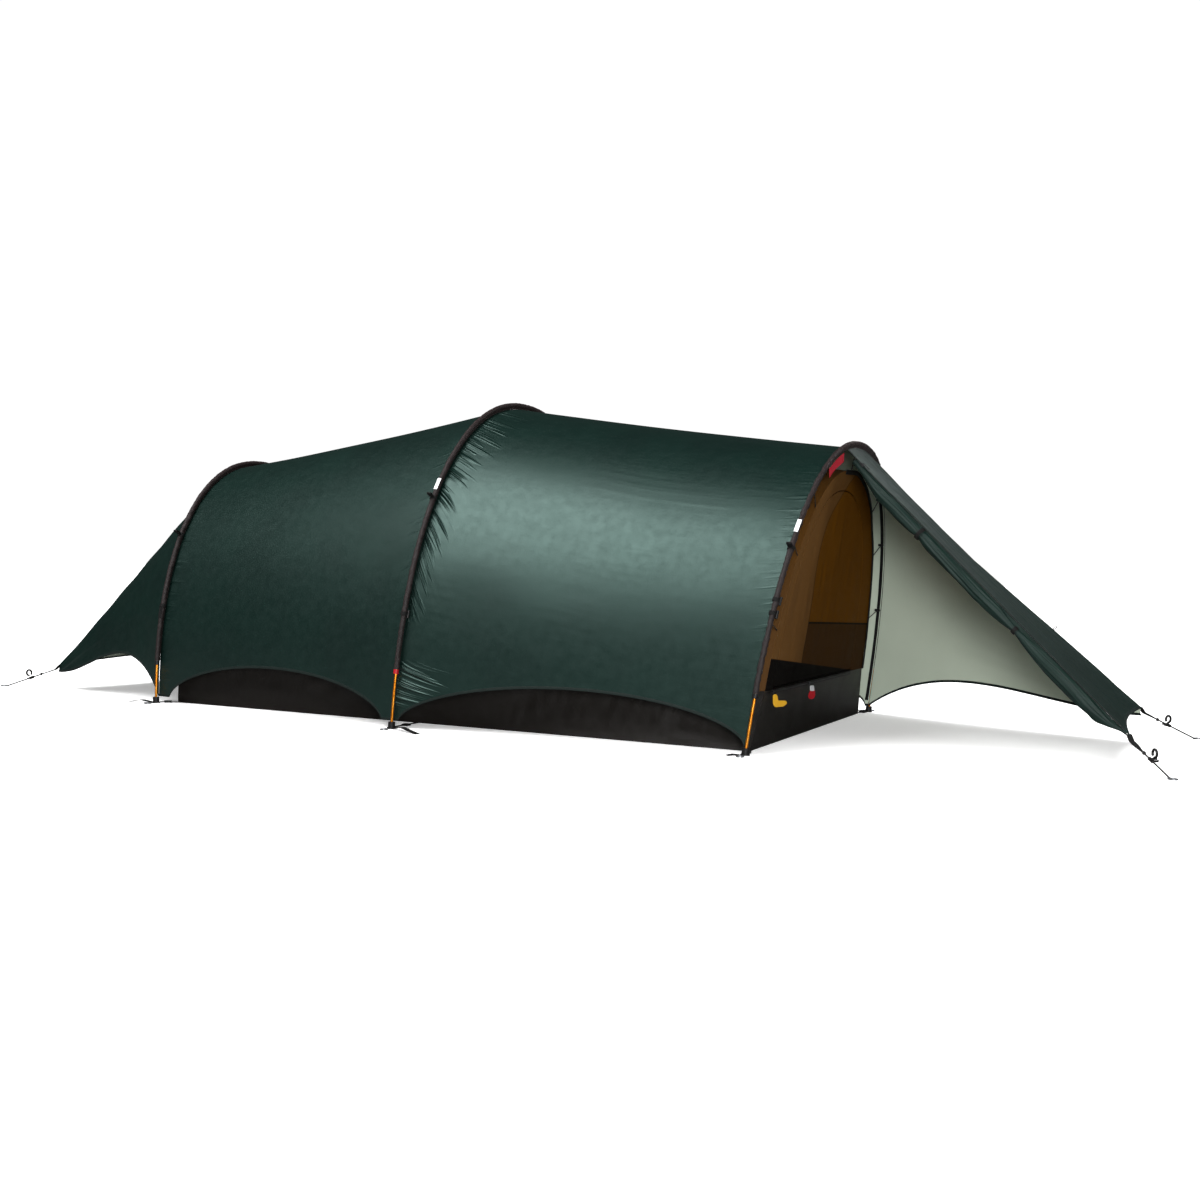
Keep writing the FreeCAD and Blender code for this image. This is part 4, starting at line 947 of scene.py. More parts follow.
def zip_chain(name, start, end, out, up, node):
    """A zip: two tapes with a gap between them, and interlocking teeth."""
    length = np.linalg.norm(end - start)
    along = (end - start) / length
    count = int(length / ZIP_PITCH)
    even = start + along * (np.arange(count)[:, None] + 0.5) * ZIP_PITCH
    shift = out * 0.0006 * np.where(np.arange(count) % 2, 1, -1)[:, None]
    boxes(f"{name}_teeth", even + shift, (along, out, up), TOOTH, ZIP_TEETH)
    tapes = []
    for side in (-1, 1):
        middle = out * side * (TAPE_GAP / 2 + TAPE_WIDTH / 2)
        path = [start + middle, (start + end) / 2 + middle, end + middle]
        tapes.append(strap(f"{name}_tape", path, TAPE_WIDTH, 0.0005, ZIP_TAPE, lift=up, count=30))
    stands_for(join(f"{name}_tapes", tapes), "zip_chain", node)


def vestibule_zip():
    start, end, _, out, up = zip_axes()
    lift = out * 0.0055 - up * 0.001
    first, last = (start * (1 - share) + end * share + lift for share in (0.02, 0.985))
    zip_chain("ridge_zip", first, last, out, up, "vestibule_zip")


# ---- the rolled door ----
ROLL_R, ROLL_PINCH, ROLL_DROP = 0.016, 0.007, 0.023
ROLL_TIES = (0.30, 0.64)
ROLL_ENDS = (0.035, 0.992)


def roll_radius(share):
    return ROLL_R - ROLL_PINCH * bump(share, ROLL_TIES[1], 0.05)


def bump(share, place, width):
    return np.exp(-((share - place) / width) ** 2)


def rolled_door():
    """The near door's cloth, rolled up along the zip, drawn in by its ties and narrow at its ends."""
    share = np.linspace(*ROLL_ENDS, 360)
    start, end, _, out, up = zip_axes()
    first = eased((share - ROLL_ENDS[0]) / 0.14)
    last = eased((ROLL_ENDS[1] - share) / 0.13)
    ending = eased((ROLL_ENDS[1] - share) / 0.045)
    size = (0.35 + 0.65 * first) * (0.22 + 0.78 * last)
    drop = ROLL_DROP * (0.55 + 0.45 * first) * (0.68 + 0.32 * last) * (0.20 + 0.80 * ending)
    path = start + (end - start) * share[:, None] - up * drop[:, None]
    turn = np.linspace(0, 2 * math.pi, 84, endpoint=False)[None, :]
    length = distances(path[:, None], 0)
    held = sum(bump(share, tie, 0.022) for tie in ROLL_TIES)[:, None]
    twist = turn + 2.2 * share[:, None] + 0.4 * wander(length, 0.15, 401)
    wide = 1 + 0.16 * eased((share - 0.70) / 0.12)[:, None]
    radius = (roll_radius(share) * size)[:, None] * (1 + 0.12 * (1 - held)) * wide
    radius = radius * (0.92 + 0.12 * ((twist / (2 * math.pi)) % 1.0))
    folds = 0.09 * np.sin(5 * twist + 2 * wander(length, 0.16, 402))
    folds = folds + 0.06 * np.sin(11 * twist + 3 * wander(length, 0.12, 403))
    folds = folds * (0.6 + 0.4 * wander(length, 0.09, 404))
    folds = folds + 0.04 * billow(length, turn * 0.02, 0.03, 405)
    radius = radius * (1 + folds)
    under = np.clip(np.cos(turn), 0, 1)
    loose = bump(share, 0.925, 0.020)[:, None] * under ** 4
    fall = radius * np.cos(turn) * (1 + 0.20 * under * (1 - held)) + 0.008 * loose
    sway = radius * np.sin(turn) * (0.86 + 0.14 * held) * (1 - 0.4 * loose)
    rings = path[:, None] - up * fall[..., None] + out * sway[..., None]
    roll = tube_mesh("rolled_near_door", rings, ROLLED)
    joined = join("rolled_near_door", [roll, zip_flap(path)])
    stands_for(joined, "flysheet_cloth", "vestibule_near_door")


def zip_flap(path):
    """The strip of the door's cloth between its zip and the roll."""
    start, end, _, out, up = zip_axes()
    line = start + (end - start) * np.linspace(*ROLL_ENDS, len(path))[:, None]
    edge = path + up * ((line - path) @ up)[:, None] + out * 0.0036 - up * 0.0022
    across = np.linspace(0, 1, 9)[None, :]
    points = path[:, None] * (1 - across[..., None]) + edge[:, None] * across[..., None]
    ripple = 0.0010 * billow(distances(path[:, None], 0), across * 0.01, 0.03, 411)
    ripple = ripple * np.sin(math.pi * across)
    return sheet_mesh("zip_flap", points[:, ::-1], ripple[:, ::-1], (ROLLED,))[0]


def roll_ties():
    """Webbing bands round the rolled door."""
    start, end, along, out, up = zip_axes()
    turn = np.linspace(0, 2 * math.pi, 40, endpoint=False)
    made = []
    for share in ROLL_TIES:
        centre = start * (1 - share) + end * share - up * ROLL_DROP
        radius = float(roll_radius(share)) * 1.12 + 0.0014
        circle = centre + radius * (np.cos(turn)[:, None] * up + np.sin(turn)[:, None] * out)
        rings = swept(circle, unit(circle - centre), along, band_profile(0.012, 0.0014))
        made.append(hoop_mesh("tie", rings, WEBBING))
    stands_for(join("door_roll_bands", made), "black_webbing", "door_roll_ties")


# ---- inner tent ----
def inner_canopies():
    def low(share):
        return np.full_like(share, INNER_LOW)

    for name, rear, front in (("rear", "rear", "mid"), ("front", "mid", "front")):
        points = bay(INNER[rear], INNER[front], 0.0, 0.0, 0.012, low, 0.012)
        seed = 500 + len(name)
        away, lengths = distances(points, 0), distances(points, 1)
        slack = 0.0030 * billow(away, lengths, 0.16, seed)
        slack = slack + 0.0014 * billow(away, lengths, 0.05, seed + 1)
        rest = away[-1:] - away
        slack = slack * eased(away / 0.08) * eased(rest / 0.08) - 0.003
        piece, _ = sheet_mesh(f"inner_{name}_cloth", points, slack, (AMBER,))
        stands_for(piece, "inner_cloth", f"inner_{name}_canopy")
        declare_sheet(points)


def wall_axes():
    """Unit vectors up the front wall and out of it."""
    hoop = INNER["front"]
    up = unit(np.array([hoop.lean, 0, hoop.height]))
    return up, np.cross([0, 1, 0], up)


# the door's sill height, middle, half width, height above its sill, and gap to the wall
DOOR = {"sill": 0.178, "centre": -0.040, "half": 0.420, "rise": 0.592, "gap": 0.003}


def front_x(z):
    """X of the inner's leaning front wall at height z."""
    hoop = INNER["front"]
    return hoop.x + hoop.lean / hoop.height * z


ARCH_SHARE = 0.70                # the part of a ring round the doorway that follows the arch


def ring_parts(turn):
    """How far along the arch, and then how far back along the sill, turn is."""
    return (np.clip(turn / ARCH_SHARE, 0, 1),
            np.clip((turn - ARCH_SHARE) / (1 - ARCH_SHARE), 0, 1))


def door_ring(grow, turn):
    """Points on the door's D-shaped outline, grow larger; turn runs 0 to 1 round it."""
    upper, back = ring_parts(turn)
    y, z = arch_outline(upper * math.pi)
    width, sill = DOOR["half"] + grow, DOOR["sill"] - grow
    level = turn > ARCH_SHARE
    y = np.where(level, DOOR["centre"] + width * (1 - 2 * back), DOOR["centre"] + width * y)
    z = np.where(level, sill, sill + (DOOR["rise"] + 2 * grow) * z)
    return np.stack([front_x(z), y, z], axis=-1)


def wall_ring(turn):
    """Points on the front wall's outline that match the door's."""
    upper, back = ring_parts(turn)
    low, high = both_angles(INNER["front"], INNER_LOW)
    arch = arch_point(INNER["front"], low + (180 - 2 * low) * upper, WALL_INSET)
    ends = arch_point(INNER["front"], np.array([high, low]), WALL_INSET)
    sill = ends[0] * (1 - back[..., None]) + ends[1] * back[..., None]
    return np.where((turn > ARCH_SHARE)[..., None], sill, arch)


def ring_sheet(name, rings, relief, body="tent"):
    """A closed thin sheet of the wall's cloth between nested rings of points."""
    _, out = wall_axes()
    front = rings + out * (relief + 0.001)[..., None]
    looped, top = closed(rings), closed(numbered(rings))
    bottom = top + rings.shape[0] * rings.shape[1]
    rims = [(bottom[0], top[0]), (top[-1], bottom[-1])]
    faces, places, _ = shell(top, bottom, looped[..., 1], looped[..., 2], rims)
    both = np.concatenate([front.reshape(-1, 3), (front - out * CLOTH).reshape(-1, 3)])
    first = both[faces[0]]
    if np.cross(first[1] - first[0], first[3] - first[0]) @ out < 0:
        faces, places = faces[:, ::-1], places[:, ::-1]
    return make_piece(name, both, faces.tolist(), places, [WALL], None, body)


def front_wall_and_door():
    turn = np.linspace(0, 1, 260, endpoint=False)
    share = np.linspace(0, 1, 14)[:, None, None]
    rings = door_ring(DOOR["gap"], turn)[None] * (1 - share) + wall_ring(turn)[None] * share
    ripple = 0.0016 * billow(rings[..., 1], rings[..., 2], 0.06, 601)
    wall = ring_sheet("front_wall_cloth", rings, ripple * np.sin(math.pi * share[..., 0]))
    stands_for(wall, "inner_cloth", "inner_front_wall")
    wall_binding()
    share = np.linspace(0.004, 1, 46)[:, None, None]
    centre = np.array([front_x(0.44), DOOR["centre"], 0.44])
    rings = centre * (1 - share) + door_ring(0.0, turn)[None] * share
    y, z = rings[..., 1], rings[..., 2]
    slack = 0.0030 * billow(y, z * 0.6, 0.11, 611) + 0.0012 * billow(y * 1.5, z * 0.5, 0.04, 612)
    slack = slack * eased((1 - share[..., 0]) / 0.2)
    door = ring_sheet("front_door_cloth", rings, slack, "inner_door")
    stands_for(door, "inner_cloth", "inner_door")


def wall_binding():
    """The black binding round the front wall's arch, drawn in and out by the elastics."""
    hoop = INNER["front"]
    angles = even_angles(hoop, 84, both_angles(hoop, INNER_LOW)[1], 0.006)
    lengths = distances(arch_point(hoop, angles), 0)
    path = arch_point(hoop, angles, 0.007 + 0.003 * wander(lengths, 0.09, 650), 0.0046)
    _, outward, across = arch_frame(hoop, angles)
    rings = swept(path, across, outward, band_profile(0.015, 0.0022, 0.0006))
    piece = tube_mesh("front_wall_binding", rings, WEBBING)
    return piece


def entrance_binding():
    """The black binding inside the flysheet's front edge, under the sleeve."""
    hoop = HOOPS["front"]
    angles = even_angles(hoop, *both_angles(hoop, 0.045), 0.010)
    lengths = distances(arch_point(hoop, angles), 0)
    inset = SKIN_INSET + 0.0022 + 0.0006 * wander(lengths, 0.05, 660)
    path = arch_point(hoop, angles, inset, -0.0095)
    _, outward, across = arch_frame(hoop, angles)
    rings = swept(path, outward, across, band_profile(0.011, 0.0020, 0.0005))
    tube_mesh("entrance_binding", rings, WEBBING)


def rear_wall():
    hoop = INNER["rear"]
    share = np.linspace(0, 1, 50)[None, :]
    half = np.linspace(both_angles(hoop, INNER_LOW)[0], 90, 70)[:, None]
    near, far = arch_point(hoop, half, WALL_INSET), arch_point(hoop, 180 - half, WALL_INSET)
    points = near * (1 - share[..., None]) + far * share[..., None]
    slack = 0.0025 * billow(points[..., 1], points[..., 2], 0.12, 620) * np.sin(math.pi * share)
    piece, _ = sheet_mesh("rear_wall_cloth", points, slack - 0.001, (AMBER,))
    stands_for(piece, "inner_cloth", "inner_rear_wall")
    declare_sheet(points)


def tray_corner(name, z, far_side):
    """The tray's edge at a hoop and at height z, where its walls lean in from its foot."""
    hoop = INNER[name]
    x, y, _ = arch_point(hoop, both_angles(hoop, z)[far_side])
    out = TRAY_FLARE[name] * (1 - z / TRAY_WALL)
    return np.array([x, y + (out if far_side else -out), z])


TRAY_CLOTH = 0.0012


def tray_side(z, far_side):
    """The tray's long side at height z, straight from hoop to hoop."""
    corners = [tray_corner(name, z, far_side) for name in INNER]
    share = np.linspace(0, 2, 201)
    return np.stack([np.interp(share, (0, 1, 2), axis) for axis in zip(*corners)], axis=-1)


def tray_end(name, facing):
    """One of the tray's end walls."""
    across = np.linspace(0, 1, 120)[None, :]
    height = np.linspace(0, TRAY_WALL, 22)
    near, far = (np.stack([tray_corner(name, z, side) for z in height])[:, None] for side in (0, 1))
    wall = near * (1 - across[..., None]) + far * across[..., None]
    height = height[:, None]
    loose = np.sin(math.pi * across) ** 0.5 * eased(height / 0.03)
    slack = 0.0030 * billow(wall[..., 1], height * 1.5, 0.10, 640 + facing) * loose
    if facing > 0:
        wall, slack = wall[:, ::-1], slack[:, ::-1]
    return sheet_mesh(f"tray_{name}_wall", wall, slack - 0.0006, (TRAY,), TRAY_CLOTH)[0]


def tray():
    """The groundsheet: a flat floor whose walls turn up in soft rounded folds."""
    heights = np.linspace(TRAY_WALL, 0, 22)
    lines = [tray_side(z, False) for z in heights]
    near, far = lines[-1], tray_side(0.0, True)
    lines += [near * (1 - s) + far * s for s in np.linspace(0, 1, 60)[1:-1]]
    lines += [tray_side(z, True) for z in heights[::-1]]
    points = np.stack(lines, axis=1)
    x, z = points[..., 0], points[..., 2]
    loose = eased(z / 0.03) * eased((TRAY_WALL - z) / 0.03 + 0.3)
    slack = 0.0030 * billow(x, z * 2, 0.09, 631) * loose
    slack = slack + 0.0012 * billow(x * 3, z, 0.05, 632) * loose
    piece, _ = sheet_mesh("tray_cloth_shell", points, slack + 0.0014, (TRAY,), TRAY_CLOTH)
    ends = [tray_end("rear", -1), tray_end("front", 1)]
    stands_for(piece, "floor_cloth", "bathtub_floor")
    declare_sheet(points)


SILL_ZIP_Z, SILL_ZIP_Y = 0.165, (-0.496, 0.372)


def sill_zip():
    """The zip along the door's sill, in front of the tray's front wall."""
    up, out = wall_axes()
    first, last = (np.array([front_x(SILL_ZIP_Z), y, SILL_ZIP_Z]) + out * 0.006 for y in SILL_ZIP_Y)
    zip_chain("sill_zip", first, last, up, out, "inner_door_zip")


PULL_FACES = unit(np.array([0.35, 0.94, 0.0]))     # the way the soft pulls' feet point
# the pulls' outlines: (along the foot, up) from the hinge
YELLOW_FOOT = ((-0.007, -0.003), (0.009, -0.003), (0.015, -0.022), (0.052, -0.024),
               (0.060, -0.033), (0.042, -0.041), (0.002, -0.041), (-0.007, -0.030))
RED_BODY = ((-0.002, -0.018), (0.021, -0.018), (0.023, -0.040), (0.013, -0.047),
            (-0.006, -0.046), (-0.013, -0.036))
GREY_CAP = ((-0.004, -0.004), (0.014, -0.004), (0.018, -0.022), (-0.002, -0.022))
PLATE_LAYERS = ((-0.5, 0.90), (-0.25, 1.0), (0.25, 1.0), (0.5, 0.90))    # depth and size


def plate(name, side, corners, radius, thickness, material):
    """A flat moulded piece with softened edges, on a sill zip's yellow or red pull."""
    low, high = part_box(f"{side}_zip_pull")
    hinge = np.array([(low[0] + high[0]) / 2, (low[1] + high[1]) / 2, high[2]])
    through = np.array([PULL_FACES[1], -PULL_FACES[0], 0.0])
    outline = np.array(rounded(corners, radius))
    middle = outline.mean(axis=0)
    rings = []
    for depth, size in PLATE_LAYERS:
        flat = middle + (outline - middle) * size
        ring = hinge + flat[:, :1] * PULL_FACES + flat[:, 1:] * (0, 0, 1)
        rings.append(ring + through * depth * thickness)
    return tube_mesh(name, np.stack(rings), material, f"{side}_pull")


def rounded(corners, radius, steps=5):
    """A closed outline through corners, each rounded off."""
    corners = np.array(corners, float)
    made = []
    for before, corner, after in zip(np.roll(corners, 1, 0), corners, np.roll(corners, -1, 0)):
        reach = min(radius, *(np.linalg.norm(side - corner) / 2.1 for side in (before, after)))
        first, last = (corner + unit(side - corner) * reach for side in (before, after))
        for t in np.linspace(0, 1, steps):
            made.append(first * (1 - t) ** 2 + corner * 2 * t * (1 - t) + last * t ** 2)
    return made


def zip_pulls():
    """The sill zip's two soft pulls: a yellow one with a foot, and a short red one with a cap."""
    yellow = plate("yellow_pull_tab", "yellow", YELLOW_FOOT, 0.006, 0.0032, YELLOW_PLASTIC)
    stands_for(yellow, "yellow_pull", "yellow_zip_pull")
    red = plate("red_pull_tab", "red", RED_BODY, 0.006, 0.0034, RED_PLASTIC)
    cap = plate("cap", "red", GREY_CAP, 0.003, 0.0040, GREY_PLASTIC)
    stands_for(join("red_pull_tab", [red, cap]), "red_pull", "red_zip_pull")


# ---- small cloth pieces on the hoops ----
def red_tab():
    hoop = HOOPS["front"]
    first, last = angle_at_y(hoop, -0.190), angle_at_y(hoop, -0.325)
    share = np.linspace(0, 1, 40)[:, None]
    drop = np.linspace(0.024, 0.052, 16)[None, :]
    points = arch_point(hoop, first + (last - first) * share, drop, 0.005)
    points[..., 0] += 0.0012 * np.sin(math.pi * 2.2 * share) * (drop - 0.024) / 0.03
    piece, _ = sheet_mesh("red_tab_cloth", points, 0.0, (RED_CLOTH,), 0.0014)
    stands_for(piece, "red_cloth", "red_tab")


# heights on the hoops of the reflective patches, the guy loops and the webbing bands
PATCHES = (("mid", 0.772), ("front", 0.650), ("rear", 0.322))
GUY_LOOPS = (("rear", 0.600), ("mid", 0.728), ("front", 0.588))
BANDS = (("rear", 0.600), ("rear", 0.345), ("mid", 0.728), ("mid", 0.360), ("front", 0.588),
         ("front", 0.440), ("front", 0.402))


def on_hoops(places):
    """Each place's hoop name, hoop and angle, on the near side and then the far side."""
    for name, height in places:
        for angle in both_angles(HOOPS[name], height):
            yield name, HOOPS[name], angle


def reflective_patches():
    made = []
    for name, hoop, centre in on_hoops(PATCHES):
        near_by = even_angles(hoop, centre - 3, centre + 3, 0.001)
        lengths = distances(arch_point(hoop, near_by), 0)
        half = lengths[-1] / 2
        angle = np.interp(np.linspace(half - 0.021, half + 0.021, 24), lengths, near_by)
        _, outward, across = arch_frame(hoop, angle)
        rings = swept(arch_point(hoop, angle, -0.0006), outward, across,
                      band_profile(0.0125, 0.0012, 0.0005))
        made.append(tube_mesh("patch", rings[:, ::-1], WEBBING if name == "rear" else REFLECTIVE))
    stands_for(join("reflective_patches", made), "reflective_tape", "reflective_tabs")


def loop_mesh(name, base, out, along, reach, width):
    """A folded webbing loop that stands out from base."""
    turn = np.linspace(-0.5, 0.5, 26)
    bulge = 0.0045 * np.cos(math.pi * turn) ** 0.5 * np.sign(turn) * np.sqrt(np.abs(2 * turn))
    rise = reach * np.cos(math.pi * turn) ** 0.75
    path = base + out * rise[:, None] + along * bulge[:, None]
    side = unit(np.cross(out, along))
    outward = unit(np.cross(side, unit(np.gradient(path, axis=0))))
    return tube_mesh(name, swept(path, outward, side, band_profile(width, 0.0014, 0.0003)), WEBBING)


def guy_loops():
    made = []
    for _, hoop, angle in on_hoops(GUY_LOOPS):
        along, outward, _ = arch_frame(hoop, angle)
        made.append(loop_mesh("loop", arch_point(hoop, angle, 0.001), outward, along, 0.026, 0.015))
    made += sleeve_bands()
    stands_for(join("sleeve_guy_loops", made), "black_webbing", "guy_tabs")


def sleeve_bands():
    """Webbing bands round the sleeves where the hem ties and the side guylines are sewn on."""
    turn = np.linspace(0, 2 * math.pi, 28, endpoint=False)
    made = []
    for _, hoop, angle in on_hoops(BANDS):
        along, outward, across = arch_frame(hoop, angle)
        reach = np.cos(turn)[:, None] * outward + np.sin(turn)[:, None] * across
        path = arch_point(hoop, angle, POLE_INSET) + reach * 0.0102
        made.append(hoop_mesh("band", swept(path, reach, along, band_profile(0.011, 0.0014)), WEBBING))
    return made


def ridge_loop():
    low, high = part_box("ridge_tab")
    start = hoop_edge(HOOPS["front"], RIDGE_FAR_Y, RIDGE_FAR_Y, 0.002)(np.array(0.0))
    along = unit(FAR_CORNER - start)
    up = unit(np.cross(along, [0, -1, 0]))
    base = np.array((low + high) / 2) - up * 0.007
    piece = loop_mesh("ridge_loop_webbing", base, up, along, 0.015, 0.012)
    stands_for(piece, "black_webbing", "ridge_tab")


# ---- feet and lines ----
FOOT_REACH = 0.0145              # from a foot's middle to where its straps start
# the way each foot's loose strap lies, as (x, y), and its length
STRAP_TAILS = {"rear": (-1.0, 0.15, 0.090), "mid": (0.86, 0.50, 0.150), "front": (-0.8, 0.6, 0.040)}
# how a loose strap lies: share of its length, sway and height
TAIL_LIES = ((0.25, 0.002, 0.009), (0.5, -0.003, 0.012), (0.75, -0.001, 0.007), (1.0, 0.006, 0.0014))


def ground_straps():
    """The straps from the feet to the tray, and their loose ends on the ground."""
    runs, tails = [], []
    for name, side in ((name, side) for name in HOOPS for side in (-1, 1)):
        hoop, inner = HOOPS[name], INNER[name]
        centre = np.array([hoop.x, side * (hoop.half_width - POLE_INSET), 0.0])
        anchor = np.array([inner.x, side * (inner.half_width + TRAY_FLARE[name] + 0.002), 0.0])
        start = centre + unit(anchor - centre) * FOOT_REACH
        path = [point + [0, 0, 0.004] for point in (start, (start + anchor) / 2, anchor)]
        runs.append(strap("run", path, 0.014, 0.0016, WEBBING))
        tails.append(strap("tail", tail_path(name, side, centre), 0.019, 0.0022, WEBBING))
    stands_for(join("foot_strap_webbing", runs), "black_webbing", "foot_straps")
    stands_for(join("strap_tail_webbing", tails), "black_webbing", "strap_tails")


def tail_path(name, side, centre):
    x, y, length = STRAP_TAILS[name]
    away = unit(np.array([x, side * y, 0.0]))
    across = np.array([-away[1], away[0], 0.0])
    begin = centre + away * FOOT_REACH
    scale = min(length / 0.15, 1.0)
    path = [begin + [0, 0, 0.0015]]
    for share, sway, lift in TAIL_LIES:
        place = begin + away * length * share + across * sway * scale
        path.append(place + [0, 0, lift * scale + 0.0003])
    return path


Guy = namedtuple("Guy", "corner stake length")
GUYS = {
    "front_near": Guy(NEAR_CORNER, (2.209, -0.484, 0.0), 0.1402),
    "front_far": Guy(FAR_CORNER, (2.224, 0.513, 0.0), 0.1879),
    "rear_near": Guy(REAR_CORNERS[0], (-2.013, -0.442, 0.0), 0.1614),
    "rear_far": Guy(REAR_CORNERS[1], (-2.013, 0.442, 0.0), 0.1614),
}
GUY_D = 0.005
CORNER_WEBBING = 0.076           # how far the webbing reaches along the line
RING_OUT_R = 0.0125
GUY_END_Z = 0.0027


def guy_run(guy):
    """The line's ends, at its corner's webbing and its peg ring, and its axes: along, across, up."""
    corner = guy.corner - (0, 0, CORNER_DEPTH / 2)
    back = corner - guy.stake
    back[2] = 0
    end = guy.stake + unit(back) * (RING_OUT_R + 0.006) + [0, 0, GUY_END_Z]
    start = corner + unit(end - corner) * CORNER_WEBBING
    along = unit(end - start)
    across = unit(np.cross([0, 0, 1.0], along))
    return start, end, along, across, np.cross(along, across)


def cord_curve(name, points):
    """A smooth round guyline: a NURBS curve with those control points."""
    curve = bpy.data.curves.new(name, "CURVE")
    curve.dimensions = "3D"
    curve.bevel_depth = GUY_D / 2
    curve.bevel_resolution = 4
    curve.resolution_u = 16
    curve.use_fill_caps = True
    line = curve.splines.new("NURBS")
    line.points.add(len(points) - 1)
    for point, place in zip(line.points, points):
        point.co = (*place, 1.0)
    line.order_u = 3
    line.use_endpoint_u = True
    curve.materials.append(CORD)
    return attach(add_object(name, curve), "tent")


KNOT = {"radius": 0.0038, "thick": 0.0017, "turns": 1.6, "pitch": 0.0034}


def knot_mesh(name, centre, along):
    """A few tight turns of cord round a line."""
    side = unit(np.cross(along, [0.0, 0.0, 1.0]))
    up = np.cross(side, along)
    turn = np.linspace(0, 2 * math.pi * KNOT["turns"], int(KNOT["turns"] * 14))[:, None]
    path = centre + (turn / (2 * math.pi) - KNOT["turns"] / 2) * KNOT["pitch"] * along
    path = path + KNOT["radius"] * (np.cos(turn) * side + np.sin(turn) * up)
    outward = unit(path - centre - ((path - centre) @ along)[:, None] * along)
    across = unit(np.cross(unit(np.gradient(path, axis=0)), outward))
    piece = tube_mesh(name, swept(path, outward, across, round_profile(KNOT["thick"], 8))[:, ::-1], CORD)
    return piece


def runner_hook(name, along, across, up):
    """The open hook moulded on top of a line runner."""
    low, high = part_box(f"{name}_runner")
    centre = (np.array(low) + np.array(high)) / 2
    turn = np.linspace(-0.42 * math.pi, 1.30 * math.pi, 44)[:, None]
    reach = np.cos(turn) * along + np.sin(turn) * up
    rings = swept(centre + up * 0.0194 + 0.0108 * reach, reach, across, round_profile(0.0037))
    piece = tube_mesh(f"{name}_runner_hook", rings, BLACK_PLASTIC, f"{name}_tensioner")
    return piece


def guylines():
    for name, guy in GUYS.items():
        start, end, *axes = guy_run(guy)
        points = [start * (1 - share) + end * share for share in (0.0, 0.35, 0.7, 1.0)]
        line = cord_curve(f"{name}_line", points)
        stands_for(line, "guy_cord", f"{name}_guyline")
        knot = knot_mesh(f"{name}_knot", start + axes[0] * 0.003, axes[0])
        runner_hook(name, *axes)


def corner_straps():
    share = np.linspace(0, 1, 30)
    width = 0.017 - 0.009 * eased((share - 0.45) / 0.5)
    profile = np.stack([band_profile(w, 0.0030, 0.0006) for w in width])
    made = []
    for guy in GUYS.values():
        start, _, along, across, up = guy_run(guy)
        path = start - along * (CORNER_WEBBING + 0.012) * (1 - share)[:, None]
        path = path + up * 0.010 * (1 - eased(share / 0.3))[:, None]
        made.append(tube_mesh("corner", swept(path, up, across, profile)[:, ::-1], WEBBING))
    stands_for(join("corner_strap_webbing", made), "black_webbing", "corner_webbing")


# ---- CAD pieces that stay ----
def keep(material, bevel, *nodes):
    """Gives CAD nodes their finish and softens their edges."""
    for name in nodes:
        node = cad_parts[name]
        node.data.materials.clear()
        node.data.materials.append(material)
        if bevel:
            soft = node.modifiers.new("soft_edges", "BEVEL")
            soft.width = bevel
            soft.segments = 2
            soft.limit_method = "ANGLE"
            soft.angle_limit = math.radians(40)


def kept_nodes():
    keep(GOLD, 0.0, "rear_pole", "mid_pole", "front_pole")
    keep(ALLOY, 0.0, "pole_ferrules")
    keep(RUBBER, 0.0, "pole_shock_cords")
    keep(RED_PLASTIC, 0.0005, "sleeve_collars_red")
    keep(BLACK_PLASTIC, 0.0005, "sleeve_collars_black", "tie_toggles", "inner_toggles",
         "pole_foot_cups", "ladder_lock_buckles", "vestibule_zip_pull")
    keep(BLACK_PLASTIC, 0.0004, *(f"{name}_runner" for name in GUYS))
    keep(SLIDER_METAL, 0.0004, "vestibule_zip_slider", "yellow_zip_slider", "red_zip_slider")
    keep(ALLOY, 0.0005, "foot_peg_rings", *(f"{name}_peg_ring" for name in GUYS))
    keep(ELASTIC, 0.0, "inner_elastics")


# ---- camera, floor and light ----
CAMERA_AT = Vector((2.430, -4.472, 0.555))
CAMERA_YAW, CAMERA_PITCH, CAMERA_ROLL = 0.43974, 0.03165, 0.01997
LENS_SHARE = 1431.75 / 1200      # focal length as a share of the frame's width
FLOOR_BOUNCE = 0.15              # how pale the floor is to everything but the camera
SHADOW_LIFT = 0.36               # its own glow to the camera, which lightens its shadows
BACKDROP = {"seen": 1.0, "diffuse": 0.20, "glossy": 0.03}   # strengths for each kind of ray


def camera():
    forward = Vector((-math.sin(CAMERA_YAW) * math.cos(CAMERA_PITCH),
                      math.cos(CAMERA_YAW) * math.cos(CAMERA_PITCH), -math.sin(CAMERA_PITCH)))
    right = forward.cross(Vector((0, 0, 1))).normalized()
    up = right.cross(forward)
    right, up = (math.cos(CAMERA_ROLL) * right + math.sin(CAMERA_ROLL) * up,
                 math.cos(CAMERA_ROLL) * up - math.sin(CAMERA_ROLL) * right)
    data = bpy.data.cameras.new("camera")
    data.sensor_width = 36.0
    data.lens = LENS_SHARE * data.sensor_width
    holder = add_object("camera", data)
    turn = Matrix((right, up, -forward)).transposed().to_4x4()
    holder.matrix_world = Matrix.Translation(CAMERA_AT) @ turn
    bpy.context.scene.camera = holder


def soft_light(name, place, target, size, power):
    data = bpy.data.lights.new(name, "AREA")
    data.shape = "RECTANGLE"
    data.size, data.size_y = size
    data.energy = power
    light = add_object(name, data)
    light.location = place
    light.rotation_euler = (Vector(target) - Vector(place)).to_track_quat("-Z", "Y").to_euler()


